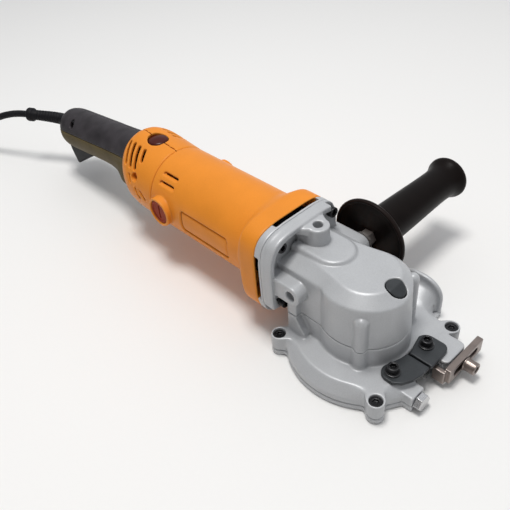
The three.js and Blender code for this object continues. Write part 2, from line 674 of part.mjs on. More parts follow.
// The bolt is one piece with the outer flange.
function bladeBolt() {
  const head = join(rod(19, 3.6, BLADE_Z - 0.2, 0, 0, 20), rod(4.6, 3.4, BLADE_Z + 0.1, 0, 0, 12));
  return cut(head, rod(2.9, 2, 4.8, 0, 0, 6));
}

// ---- bearings ----
function bearing(outer, inner, length, sides = 18) {
  return cut(rod(outer, 0, length, 0, 0, sides), rod(inner, -1, length + 1, 0, 0, sides));
}

const bearingZ = (outer, inner, z0, z1, x) => geometryOf(bearing(outer, inner, z1 - z0)).translate(x, 0, z0);
const bearingX = (outer, inner, x0, x1) =>
  facingX(geometryOf(bearing(outer, inner, x1 - x0))).translate(x0, 0, MOTOR_Z);

// Ring at a station along the motor, between the round barrel (0) and the square block (1).
function housingRing(x, square) {
  return superellipse(0, 40).map(([y, z]) => {
    const r = Math.hypot(y, z - MOTOR_Z);
    const scale = THREE.MathUtils.lerp(MOTOR_R / r, 1, square);
    return [x, y * scale, MOTOR_Z + (z - MOTOR_Z) * scale];
  });
}

function motorHousing() {
  const shell = loft([
    housingRing(HOUSING_REAR, 0),
    housingRing(HOUSING_ROUND, 0),
    housingRing(-94.5, 0.14),
    housingRing(-91, 0.5),
    housingRing(-87.5, 0.86),
    housingRing(HOUSING_BLOCK, 1),
    housingRing(HOUSING_FRONT, 1),
  ]);
  const brushBosses = [-1, 1].map((s) => join(
    rodY(13.5, ...ordered(30 * s, 38.5 * s), BRUSH_X, MOTOR_Z, 18),
    rodY(s > 0 ? 13.5 : 12.8, ...ordered(38.4 * s, 41.3 * s), BRUSH_X, MOTOR_Z, 18, s > 0 ? 12.8 : 13.5),
  ));
  const bore = rodX(32.8, -230, -50, 0, MOTOR_Z, 28);
  const brushHoles = rodY(BRUSH_HOLE_R, -60, 60, BRUSH_X, MOTOR_Z, 18);
  const screws = headScrewPlaces.map(([y, z]) => rodX(2.8, -81, -60, y, z, 8));
  const slots = [51, 37.5].map((deg) => box(-202.8, -183.2, -50, -20, -1.9, 1.9)
    .rotateX(THREE.MathUtils.degToRad(-deg)).translate(0, 0, MOTOR_Z));
  const panelBox = box(-170, -110.5, -45, -20, MOTOR_Z - 10, MOTOR_Z + 10);
  const panel = cut(panelBox, rodX(MOTOR_R - 0.7, -180, -100, 0, MOTOR_Z, 40));
  return cut(join(shell, ...brushBosses), bore, brushHoles, ...screws, ...slots, panel);
}

function brushCap(sign) {
  const [z0, z1] = [MOTOR_Z - 5.5, MOTOR_Z + 5.5];
  const slot = box(BRUSH_X - 0.8, BRUSH_X + 0.8, ...ordered(39.4 * sign, 42 * sign), z0, z1);
  const cap = rodY(BRUSH_HOLE_R - GAP, ...ordered(37.2 * sign, 40.4 * sign), BRUSH_X, MOTOR_Z, 18);
  return cut(cap, slot);
}

function brushHolder(sign) {
  const along = (half, y0, y1, tall) =>
    box(BRUSH_X - half, BRUSH_X + half, ...ordered(y0 * sign, y1 * sign), MOTOR_Z - tall, MOTOR_Z + tall);
  const tube = along(4, 15.5, 36.9, 5.2);
  const bore = along(3, 10, 60, 4.2);
  const carbon = along(3.5, COMMUTATOR_R + GAP, 28, 4.6);
  return join(cut(tube, bore), carbon);
}

function fieldCore() {
  const ring = rodX(32.5, -152, -102, 0, MOTOR_Z, 24);
  const coils = [-1, 1].map((s) => box(-160, -94, -15, 15, ...ordered(MOTOR_Z + s * 22.5, MOTOR_Z + s * 28)));
  return cut(join(ring, ...coils), rodX(21, -170, -90, 0, MOTOR_Z, 24));
}

function armatureShaft() {
  const stations = [[-213, -205, 4], [-206, -71.9, 5.6], [-72, -52, 5], [-52.1, -41.8, 3]];
  return join(...stations.map(([x0, x1, r]) => rodX(r, x0, x1, 0, MOTOR_Z, 14)));
}

function armatureCore() {
  const core = rodX(20.3, -152, -102, 0, MOTOR_Z, 24);
  const windings = rodX(16, -166, -92, 0, MOTOR_Z, 16);
  return cut(join(core, windings), rodX(5.6 + RUN, -180, -80, 0, MOTOR_Z, 14));
}

function commutator() {
  const bore = rodX(5.6 + RUN, -210, -180, 0, MOTOR_Z, 14);
  return cut(rodX(COMMUTATOR_R, -203, -184, 0, MOTOR_Z, 18), bore);
}

function fan() {
  const disc = rodX(31, -77.5, -75.8, 0, MOTOR_Z, 24);
  const hub = rodX(9, -87, -75.9, 0, MOTOR_Z, 14);
  const blades = Array.from({ length: 9 }, (_, i) =>
    box(-86, -77, 14, 30.5, -0.6, 0.6).rotateX((2 * Math.PI * i) / 9).translate(0, 0, MOTOR_Z));
  return cut(join(disc, hub, ...blades), rodX(5.6 + RUN, -90, -70, 0, MOTOR_Z, 14));
}

// ---- rear cover, split left and right ----
// Stations of the rear cover from the motor back: [x, centre height, radius].
const COVER_RINGS = [
  [HOUSING_REAR - GAP, MOTOR_Z, MOTOR_R], [-238, 60.6, 37], [-248, 62.6, 36.6], [-255, 65.8, 34.2],
  [-260, 68.8, 30.8], [-264, 70, 27.4], [COVER_REAR, 70, 24.6],
];

function coverShape(thin, front) {
  return loft(COVER_RINGS.map(([x, z, r], i) => {
    const stop = i === COVER_RINGS.length - 1 ? x + thin : x;
    const ring = arc(0, z, r - thin, 0, 350, 35);
    return ring.map(([y, height]) => [i === 0 ? x + front : stop, y, height]);
  }));
}

function rearCoverWhole() {
  const front = COVER_RINGS[0][0];
  const bearingRing = cut(rodX(13.5, -222, front, 0, MOTOR_Z), rodX(11.4, -230, front + 1, 0, MOTOR_Z));
  const spokes = [-1, 1].map((s) =>
    box(-222, front, ...ordered(12 * s, 34.5 * s), MOTOR_Z - 1.5, MOTOR_Z + 1.5));
  return join(cut(coverShape(0, 0), coverShape(3, 1)), bearingRing, ...spokes);
}

// Cooling slots on the -Y side as [from x, to x, from angle, to angle, width]; +Y mirrors them.
const COVER_SLOTS = [
  [-258.5, -251.5, 65, 38, 3.4], [-251.5, -244.5, 65, 36.5, 3.4], [-244.5, -238, 64.5, 36, 3.4],
  [-237, -233.5, 64, 50, 3.4], [-243.7, -241.4, 25.4, 14.6, 2], [-235, -230.4, 9.4, -5, 2],
  [-227.5, -221.9, 8, -2.4, 2],
];

function coverSlot([x0, x1, from, to, width]) {
  const middle = (from + to) / 2;
  const span = THREE.MathUtils.degToRad(from - to) * 35;
  const lean = Math.atan2(x1 - x0, span);
  return box(-width / 2, width / 2, -45, -20, -span / 2, span / 2).rotateY(-lean)
    .translate((x0 + x1) / 2, 0, 0).rotateX(THREE.MathUtils.degToRad(-middle)).translate(0, 0, MOTOR_Z);
}

function rearCover(sign) {
  const half = meet(rearCoverWhole(), box(-300, -200, ...ordered(0.15 * sign, 60 * sign), 0, 120));
  const mirrored = (geometry) => (sign > 0 ? geometry.scale(1, -1, 1) : geometry);
  const slots = COVER_SLOTS.map((slot) => mirrored(coverSlot(slot)));
  const screwHole = mirrored(rodY(3.9, -45, -26, -236, MOTOR_Z + 15.5, 12));
  const opening = rodX(18, -280, -255, 0, HANDLE_ROOT.z, 16);
  const buttonHole = rod(BUTTON_HOLE_R, 80, 110, BUTTON_X, 0, 18);
  return cut(half, ...slots, screwHole, opening, buttonHole);
}

// Push button sunk in the top seam of the rear cover.
function rearButton() {
  const r = BUTTON_HOLE_R - 0.4;
  const profile = [
    [0, 89.5], [r + 1.2, 89.5], [r + 1.2, 91.5], [r, 91.5], [r, 96.3], [r - 1.4, 97.6], [r - 4.6, 98.5],
    [0, 98.8],
  ];
  return turned(profile, 20).translate(BUTTON_X, 0, 0);
}

// ---- rear handle ----
const handlePlace = (geometry) =>
  geometry.rotateY(-HANDLE_DROOP).translate(HANDLE_ROOT.x, HANDLE_ROOT.y, HANDLE_ROOT.z);

// Stations of the handle: [distance back from the root, half width above and below its axis,
// height above and below]. The front of the lower shell flares out as a hand stop.
const HANDLE_RINGS = [
  [0, 22, 29, 22, 36], [8, 22, 30, 22, 37.5], [12, 21.8, 29.5, 22, 37], [17, 21.6, 27, 22, 33.5],
  [22, 21.4, 24.6, 22, 30], [30, 21.2, 22.2, 22, 26], [44, 21, 21, 22, 22.5], [60, 21.3, 21.3, 22, 20.8],
  [120, 21.6, 21.6, 22, 20.8], [130, 21.2, 21.2, 22, 20.4], [137, 19.4, 19.4, 21.2, 18.8],
  [142.5, 16.2, 16.2, 18.2, 15.6], [HANDLE_LENGTH, 12.2, 12.2, 14, 12],
];

function handleBody(thin, count) {
  return loft(HANDLE_RINGS.map(([back, wide, wideLow, up, down], i) => {
    const end = i === HANDLE_RINGS.length - 1 ? thin : 0;
    const x = i === 0 && thin > 0 ? 1 : end - back;
    return arc(0, 0, 1, 0, 360 - 360 / count, count - 1).map(([c, s]) => {
      const half = THREE.MathUtils.lerp(wide, wideLow, THREE.MathUtils.clamp(-2 * s, 0, 1));
      return [x, (half - thin) * c, s * ((s > 0 ? up : down) - thin)];
    });
  }));
}

function handleShell(upper) {
  const shell = cut(handleBody(0, 24), handleBody(3, 14));
  const keep = upper
    ? box(-200, 10, -60, 60, SEAM_RISE + 0.15, 60)
    : box(-200, 10, -60, 60, -60, SEAM_RISE - 0.15);
  const half = geometryOf(meet(shell, keep));
  const cordHole = rodX(8, -160, -132, 0, RELIEF_RISE, 16);
  const placed = handlePlace(geometryOf(cut(half, cordHole)));
  const front = box(COVER_REAR - GAP, -200, -60, 60, 0, 120);
  if (upper) return cut(placed, front, handlePlace(rodY(3.8, -40, -4, ...HANDLE_SCREW, 16)));
  const mouth = TRIGGER_HALF + 0.6;
  return cut(placed, front, box(-409.5, -353, -mouth, mouth, 10, 50));
}

function handleScrew() {
  const bar = handlePlace(rodY(3.3, -13.5, -4.5, ...HANDLE_SCREW, 16));
  return geometryOf(cut(bar, handlePlace(rodY(1.7, -20, -11.5, ...HANDLE_SCREW, 6))));
}

function trigger() {
  const outline = [
    [-359, 38.6], [-372, 31.5], [-396.5, 15.8], [-398.6, 15.8], [-405.5, 32], [-406.5, 41], [-396, 47],
    [-362, 51], [-356.5, 49.5], [-355.5, 43],
  ];
  return slabXZ(outline, -TRIGGER_HALF, TRIGGER_HALF);
}

const switchBody = () => box(-398, -362, -8, 8, 52.5, 62.5);

// Tapered relief with an end collar, bending down and out of the handle.
function reliefCurve() {
  return new THREE.CatmullRomCurve3([
    new THREE.Vector3(-406, 0, 57.6),
    new THREE.Vector3(-419, -1.2, 57.4),
    new THREE.Vector3(-434, -7.5, 58.6),
    new THREE.Vector3(-449, -17.2, 60.3),
    new THREE.Vector3(CORD_EXIT[0] + 0.75, CORD_EXIT[1] + 0.42, CORD_EXIT[2] + 0.05),
  ]);
}

function roundSection(r, sides) {
  const ring = arc(0, 0, r, 0, 360 - 360 / sides, sides - 1);
  return new THREE.Shape(ring.map(([x, y]) => new THREE.Vector2(x, y)));
}

function sweep(points, r, sides, steps) {
  const curve = new THREE.CatmullRomCurve3(points.map((p) => new THREE.Vector3(...p)));
  return new THREE.ExtrudeGeometry(roundSection(r, sides), { steps, extrudePath: curve });
}

function strainRelief() {
  const curve = reliefCurve();
  const steps = 8;
  const body = new THREE.ExtrudeGeometry(roundSection(1, 12), { steps, extrudePath: curve });
  const samples = curve.getSpacedPoints(steps);
  reshape(body, (p) => {
    const nearer = (best, q, i) => (q.distanceTo(p) < samples[best].distanceTo(p) ? i : best);
    const along = samples.reduce(nearer, 0);
    const centre = samples[along];
    const r = THREE.MathUtils.lerp(7.2, 5.4, along / steps);
    p.sub(centre).multiplyScalar(r).add(centre);
  });
  const end = curve.getPointAt(1);
  const way = curve.getTangentAt(1);
  const collar = new THREE.CylinderGeometry(7.6, 7.6, 6.5, 14).translate(0, -3.25, 0);
  collar.applyQuaternion(new THREE.Quaternion().setFromUnitVectors(new THREE.Vector3(0, 1, 0), way));
  return join(body, collar.translate(end.x, end.y, end.z));
}

// ---- side handle ----
const GRIP = [
  [0, 56], [14.6, 56], [15.9, 59], [16.1, 74], [14.9, 120], [14.6, 142], [15.3, 150], [18.4, 156],
  [18.6, 159.5], [17.4, 161], [0, 161],
];

const alongSideHandle = (geometry) => facingY(geometry).translate(SIDE_BOSS_X, 0, MOTOR_Z);

function sideHandleGrip() {
  return alongSideHandle(geometryOf(cut(turned(GRIP, 22), rod(4.2, 50, 110, 0, 0, 10))));
}

function sideHandleDisc() {
  const profile = [
    [0, 50.2], [29, 50.2], [30.5, 48.4], [32.6, 48.4], [33, 50], [32, 52.6], [18, 53.4],
    [15, 55.7], [0, 55.7],
  ];
  return alongSideHandle(geometryOf(cut(turned(profile, 28), rod(4.2, 40, 60, 0, 0, 10))));
}

function sideHandleStud() {
  const bar = rod(3.9, 33, 100, 0, 0, 10);
  const nut = prism(hexagon(7.2), 43.2, 49.9);
  return alongSideHandle(geometryOf(join(bar, nut, rod(8.2, 41.4, 43.3, 0, 0, 14))));
}

// ---- cord ----
const powerCord = () => sweep(CORD_ROUTE, CORD_R, 8, 12);

function cordCoil() {
  const [r0, r1] = [COIL_R - COIL_HALF_W, COIL_R + COIL_HALF_W];
  const profile = [
    [r0, 2], [r0 + 2, 0], [r1 - 2, 0], [r1, 2], [r1, COIL_H - 2], [r1 - 2, COIL_H], [r0 + 2, COIL_H],
    [r0, COIL_H - 2], [r0, 2],
  ];
  const ring = turned(profile, 28).translate(COIL_CENTRE[0], COIL_CENTRE[1], 0);
  return cut(ring, sweep(CORD_ROUTE, CORD_R + GAP, 8, 12), sweep(TAIL_ROUTE, CORD_R + GAP, 8, 4));
}

// Two-pin mains plug lying flat beside the coil.
function plugBody() {
  const sleeve = rod(6, 0, 12, 0, 0, 16, 7.2);
  const body = prism(arc(0, 0, 1, 0, 337.5, 15), 11, 47, 2);
  reshape(body, (p) => {
    const wide = p.z > 30 ? 1 : 0.72;
    p.x *= 17.5 * wide;
    p.y *= 9.2 * (p.z > 30 ? 1 : 0.9);
  });
  const pins = [-9.5, 9.5].map((x) => rod(2.4, 46, 66, x, 0, 12));
  return join(sleeve, body, ...pins);
}

function plug() {
  const tail = new THREE.Vector3(...TAIL_ROUTE.at(-1));
  const way = new THREE.Vector3(0.99, 0.14, 0).normalize();
  const side = new THREE.Vector3(-way.y, way.x, 0);
  const frame = new THREE.Matrix4().makeBasis(side, new THREE.Vector3(0, 0, -1), way);
  const geometry = geometryOf(plugBody()).applyMatrix4(frame);
  geometry.translate(tail.x - way.x, tail.y - way.y, tail.z);
  return join(geometry, sweep(TAIL_ROUTE, CORD_R, 8, 4));
}

// ---- assembly ----
piece('base_cover', baseCover(), 'casting');
piece('blade_case', bladeCase(), 'casting');
bossPlaces.forEach((place, i) => piece(`case_screw_${i + 1}`, caseScrew(place), 'blackSteel'));
piece('guard_plate_right', guardPlateRight(), 'plate');
piece('guard_plate_left', guardPlateLeft(), 'plate');
piece('plate_screw_right', plateScrew(PLATE_SCREW_RIGHT, PLATE_Z + PLATE_RIGHT_T), 'blackSteel');
piece('plate_screw_left', plateScrew(PLATE_SCREW_LEFT, PLATE_Z + PLATE_LEFT_T), 'blackSteel');
piece('stopper', stopper(), 'steel');
piece('stopper_bolt', stopperBolt(), 'steel');
piece('lug_hex_bolt', hexBolt(), 'steel');

piece('gear_head', gearHead(), 'casting');
piece('bearing_plate', bearingPlate(), 'casting');
headScrewPlaces.forEach((place, i) => piece(`head_screw_${i + 1}`, headScrew(place), 'blackSteel'));
piece('spindle_lock_button', lockButton(), 'black');

piece('blade', blade(), 'blackSteel');
piece('blade_flange', innerFlange(), 'steel');
piece('blade_bolt', bladeBolt(), 'blackSteel');
piece('spindle', spindle(), 'steel');
piece('spindle_gear', spindleGear(), 'steel');
piece('intermediate_shaft', intermediateShaft(), 'steel');
piece('bevel_gear', bevelGear(), 'steel');
piece('bevel_pinion', bevelPinion(), 'steel');
piece('spindle_bearing_lower', bearingZ(15, 7.5 + RUN, 23, 34.6, 0), 'steel');
piece('spindle_bearing_upper', bearingZ(11, 5 + RUN, 69.7, 76.2, 0), 'steel');
piece('shaft_bearing_lower', bearingZ(8, 4 + RUN, 29.2, 35.6, SHAFT2_X), 'steel');
piece('shaft_bearing_upper', bearingZ(8, 4 + RUN, 70.5, 77.6, SHAFT2_X), 'steel');

piece('motor_housing', motorHousing(), 'orange');
piece('field_core', fieldCore(), 'iron');
piece('armature_shaft', armatureShaft(), 'steel');
piece('armature_core', armatureCore(), 'iron');
piece('commutator', commutator(), 'copper');
piece('fan', fan(), 'black');
piece('motor_bearing_front', bearingX(13, 5 + RUN, -71.5, -64.2), 'steel');
piece('motor_bearing_rear', bearingX(11, 4 + RUN, -213, -206.3), 'steel');
[['left', 1], ['right', -1]].forEach(([side, sign]) => {
  piece(`brush_holder_${side}`, brushHolder(sign), 'brass');
  piece(`brush_cap_${side}`, brushCap(sign), 'capBrown');
  piece(`rear_cover_${side}`, rearCover(sign), 'orange');
});
piece('rear_button', rearButton(), 'maroon');

piece('handle_upper', handleShell(true), 'charcoal');
piece('handle_lower', handleShell(false), 'charcoal');
piece('trigger', trigger(), 'black');
piece('switch_body', switchBody(), 'black');
piece('handle_screw', handleScrew(), 'blackSteel');
piece('strain_relief', strainRelief(), 'black');

piece('side_handle_grip', sideHandleGrip(), 'black');
piece('side_handle_disc', sideHandleDisc(), 'black');
piece('side_handle_stud', sideHandleStud(), 'steel');

piece('power_cord', powerCord(), 'black');
piece('cord_coil', cordCoil(), 'black');
piece('plug', plug(), 'black');

export default model;
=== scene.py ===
"""Looks of a portable rebar cutting saw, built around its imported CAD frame."""

import json
import math

import bpy
import numpy as np
from mathutils import Matrix, Vector

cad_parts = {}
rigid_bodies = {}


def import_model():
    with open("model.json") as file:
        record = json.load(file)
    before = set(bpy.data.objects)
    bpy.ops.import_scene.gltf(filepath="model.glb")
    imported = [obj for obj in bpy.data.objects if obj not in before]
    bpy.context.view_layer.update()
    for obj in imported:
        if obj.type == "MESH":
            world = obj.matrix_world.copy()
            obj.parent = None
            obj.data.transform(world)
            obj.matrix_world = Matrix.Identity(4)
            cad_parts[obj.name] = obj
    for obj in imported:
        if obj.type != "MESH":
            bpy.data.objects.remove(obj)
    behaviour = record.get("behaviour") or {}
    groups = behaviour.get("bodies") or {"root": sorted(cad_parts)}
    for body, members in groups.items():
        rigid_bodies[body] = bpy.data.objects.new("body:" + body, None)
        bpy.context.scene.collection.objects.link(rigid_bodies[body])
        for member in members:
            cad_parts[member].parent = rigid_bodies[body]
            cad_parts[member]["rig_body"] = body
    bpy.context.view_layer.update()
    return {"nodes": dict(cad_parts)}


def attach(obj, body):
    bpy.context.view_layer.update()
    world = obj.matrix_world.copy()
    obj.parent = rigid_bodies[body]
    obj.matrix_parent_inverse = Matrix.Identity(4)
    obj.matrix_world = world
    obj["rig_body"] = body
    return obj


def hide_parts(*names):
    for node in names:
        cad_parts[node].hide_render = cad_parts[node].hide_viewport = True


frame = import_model()
NODES = frame["nodes"]

# ---- the tool's own dimensions, in millimetres ----
MM = 0.001
GAP = 0.3
MOTOR_Z = 58.7
PARTING_Z = 36.0

# Blade case, base cover and what is bolted to them. Plan boxes run x from, x to, y from, y to.
CASE_R = 60.0
CASE_FLAT_R = 52.5
CASE_SIDE = 11.0
CASE_TOP = 18.7
COVER_TOP = 5.4
COVER_FLOOR = 2.4
CHAMBER_R = 57.2
CHAMBER_TOP = 15.5
NOTCH = (37.0, 90.0, -11.8, 9.8)
BOSS_PITCH_R = 64.6
BOSS_R = 6.4
CASE_SCREW_R = 4.6
CASE_SCREW_WELL_R = 5
RIB_PLACE = (18.3, 29.3)
BOLT_LUG = (46, 61.6, -26, -11.8)
STOPPER_LUG = (44, 63.3, 12.5, 37.5)
LEG_POCKET = (55.3, 75, 8, 20.5)
HEX_BOLT = (-18.6, 7.3)
HEX_BOLT_BORE_R = 4.4
STOPPER_BOLT = (27.6, 11.3)
STOPPER_BORE_R = 3.3
PLATE_SCREW_RIGHT = (40.7, -20.8)
PLATE_SCREW_LEFT = (44, 14.5)
PLATE_HOLE_R = 2.8
SPINDLE_HOLE_R = 9
SPINDLE_SEAT_R = 15.3

# Outlines of the head: nose radius, half width, narrowing on the +Y side, half width at the rear.
COLLAR = (35.3, 31, 2)
FOOT = (35.2, 31, 2.2)
BROW = (34.3, 29.7, 3.3)
PLATEAU = (23.4, 22.2, 0.2, 12.2)
CAVITY = (31, 27, 3.2)

# Gear head, bearing plate and side handle.
HEAD_REAR = -61.0
HEAD_BROW = 71.8
HEAD_TOP = 79
PAD_TOP = 81.7
PAD_R = 16.6
HEAD_SEAT_R = 11.2
SHAFT2_X = -30.625
SHAFT2_SEAT_R = 8.2
SIDE_BOSS_X = -37.2
SIDE_BOSS_R = 8.3
SOCKET_R = 4.1
EYE_X = -46
EYE_R = 8.8
EYE_HOLE_R = 3.7
EYE_TOP = 96
LOCK_X = 23.5
LOCK_TOP = 78.6
LOCK_HOLE_R = 7.5
FLANGE_REAR = -62.8
FLANGE_FLOOR = -60.0
FLANGE_FRONT = -52.3
FLANGE_HALF = (36.5, 44.3)
FLANGE_RISE = 39.5
FLANGE_POWER = 4.3
HEAD_SCREW_R = 4.3
HEAD_SCREW_HOLE_R = 2.8
MOTOR_SEAT_R = 17
PLATE_REAR = -69.3
STUD_R = 4.3

# Motor housing and rear cover.
MOTOR_R = 36.3
MOTOR_BORE_R = 32.8
HOUSING_REAR = -211.4
COVER_FRONT = -211.7
COVER_REAR = -267.0
COVER_WALL = 3.0
VENT_FRONT = -65.2
VENT_SKIN = 1.6
TOP_VENT = (-23, 23)
SIDE_VENT = (39, 80)
BRUSH_X = -194.7
BRUSH_BOSS_R = 13.5
BRUSH_HOLE_R = 11.1
PANEL = (-170, -110.5, MOTOR_Z - 10, MOTOR_Z + 10, 3)
LOUVRE = (-200.9, -185.1)
# Distances round the barrel from its middle height, at 0.6335 mm a degree.
LOUVRE_RISES = (51 * 0.6335, 37.5 * 0.6335)
LOUVRE_R = 2.1
COVER_WELL = (-236, MOTOR_Z + 15.5)
COVER_WELL_R = 3.9
SLOT_DEPTH = 2.4
SLOT_BOTTOM_R = 22
SLOT_ROUND_R = 35  # turns an angle round the cover into mm
BUTTON_X = -238.5
BUTTON_HOLE_R = 9.6
BUTTON_FOOT = 89.5
BUTTON_TOP = 96.9

# Rear handle and trigger.
HANDLE_ROOT = (-267.3, 68.3)
HANDLE_DROOP = math.radians(6)
HANDLE_LENGTH = 146.0
HANDLE_WALL = 3.0
HANDLE_MOUTH_R = 18
HANDLE_SCREW = (110.5, 14.5)
HANDLE_SCREW_R = 3.8
SEAM_RISE = 5.5
CREASE_ANGLE = 71
CREASE_STEP = 0.38  # mm round the handle for each degree
RELIEF_SEAT = (0, 3.9, 8)  # across, up, radius
TRIGGER_HALF = 12.6
TRIGGER_MOUTH = (-409.5, -353)

# Cord, strain relief and plug.
CORD_D = 7.6
CORD_EXIT = (-463.5, -25.5, 60.8)
CORD_ROUTE = [
    CORD_EXIT, (-477, -32, 60), (-491, -38.7, 57), (-505, -45, 52), (-520, -51.5, 44.5),
    (-536, -59, 34.5), (-552, -68, 23.5), (-568, -78.5, 13.5), (-584, -90.5, 6.5), (-601, -104.5, 3.8),
]
COIL_CENTRE = (-565.8, -147.3)
COIL_OUTER_R = 55.4
TAIL_ROUTE = [
    (-556.2, -201.9, 11.4), (-543, -199.5, 10.9), (-528, -196.7, 10.2), (-513, -194.4, 9.8),
    (-498, -192.3, 9.6),
]
RELIEF_ROUTE = [
    (-406, 0, 57.6), (-419, -1.2, 57.4), (-434, -7.5, 58.6), (-449, -17.2, 60.3), (-462.75, -25.08, 60.85),
]
PLUG_LENGTH = 47
PIN_SPREAD = 9.5
PIN_R = 2.4
PIN_END = 66

SCREW_PLACES = [
    (BOSS_PITCH_R * math.cos(math.radians(a)), BOSS_PITCH_R * math.sin(math.radians(a)))
    for a in (45, 135, 225, 315)
]
HEAD_SCREWS = [(a * 28.0, MOTOR_Z + b * 27.5) for a, b in ((-1, -1), (1, -1), (-1, 1), (1, 1))]


# ---- camera and light, in metres ----
CAMERA_PLACE = (0.185927, -0.255686, 0.362177)
CAMERA_RIGHT = (0.68965575, 0.71981702, -0.07898357)
CAMERA_UP = (-0.42575768, 0.49129337, 0.7598429)
CAMERA_BACK = (0.58575196, -0.49040216, 0.64529092)
LENS = 42.568  # mm, on a 36 mm sensor
TOOL_MIDDLE = (-0.12, 0.0, 0.03)
SKY_TOP = (-0.1, 0.5, 0.86)  # toward the brightest part
SKY_DIM, SKY_BRIGHT = 0.15, 0.75
FLOOR_REACH = 25.0
FLOOR_Z = -0.0002


def add_camera():
    data = bpy.data.cameras.new("camera")
    data.sensor_width = 36
    data.lens = LENS
    data.clip_start = 0.01
    camera = bpy.data.objects.new("camera", data)
    turn = Matrix((CAMERA_RIGHT, CAMERA_UP, CAMERA_BACK)).transposed().to_4x4()
    camera.matrix_world = Matrix.Translation(CAMERA_PLACE) @ turn
    bpy.context.scene.collection.objects.link(camera)
    bpy.context.scene.camera = camera


def area_light(name, place, aim, size, power, color):
    data = bpy.data.lights.new(name, "AREA")
    data.shape = "DISK"
    data.size = size
    data.energy = power
    data.color = color
    light = bpy.data.objects.new(name, data)
    light.location = place
    light.rotation_euler = (Vector(aim) - Vector(place)).to_track_quat("-Z", "Y").to_euler()
    bpy.context.scene.collection.objects.link(light)


def add_studio():
    """A sky brightest overhead, a soft key from above and a weak warm light on the -Y side."""
    world = bpy.data.worlds.new("studio")
    world.use_nodes = True
    nodes, links = world.node_tree.nodes, world.node_tree.links
    toward = nodes.new("ShaderNodeVectorMath")
    toward.operation = "DOT_PRODUCT"
    toward.inputs[1].default_value = SKY_TOP
    links.new(nodes.new("ShaderNodeTexCoord").outputs["Generated"], toward.inputs[0])
    sky = nodes.new("ShaderNodeMapRange")
    sky.inputs["From Min"].default_value = -0.1
    sky.inputs["To Min"].default_value = SKY_DIM
    sky.inputs["To Max"].default_value = SKY_BRIGHT
    links.new(toward.outputs["Value"], sky.inputs["Value"])
    links.new(sky.outputs["Result"], nodes["Background"].inputs["Strength"])
    nodes["Background"].inputs["Color"].default_value = (0.95, 0.97, 1.0, 1)
    bpy.context.scene.world = world
    area_light("key", (-0.15, -0.08, 1.65), TOOL_MIDDLE, 0.5, 17, (1.0, 0.985, 0.96))
    area_light("warm", (0.3, -1.5, 0.55), TOOL_MIDDLE, 1.0, 0.4, (1.0, 0.62, 0.32))
    bpy.context.scene.view_settings.view_transform = "Standard"


def add_floor():
    mesh = bpy.data.meshes.new("floor")
    corners = [(a * FLOOR_REACH, b * FLOOR_REACH, 0) for a, b in ((-1, -1), (1, -1), (1, 1), (-1, 1))]
    mesh.from_pydata(corners, [], [(0, 1, 2, 3)])
    floor = bpy.data.objects.new("floor", mesh)
    bpy.context.scene.collection.objects.link(floor)
    floor.location.z = FLOOR_Z
    paper = surface("floor_paper", (0.85, 0.845, 0.835), 0.9, 0.0, (2, 0.004), (300, 0.004), 0.0)
    floor.data.materials.append(paper)


# ---- materials ----
NOISE_LOW, NOISE_HIGH = 0.25, 0.75
# Pointiness ranges: hollows darkened as painted shade, edges lightened as wear and painted highlight.
HOLLOW_FROM, HOLLOW_TO = 0.43, 0.49
EDGE_FROM, EDGE_TO = 0.52, 0.60
BUMP_REACH = 0.0004


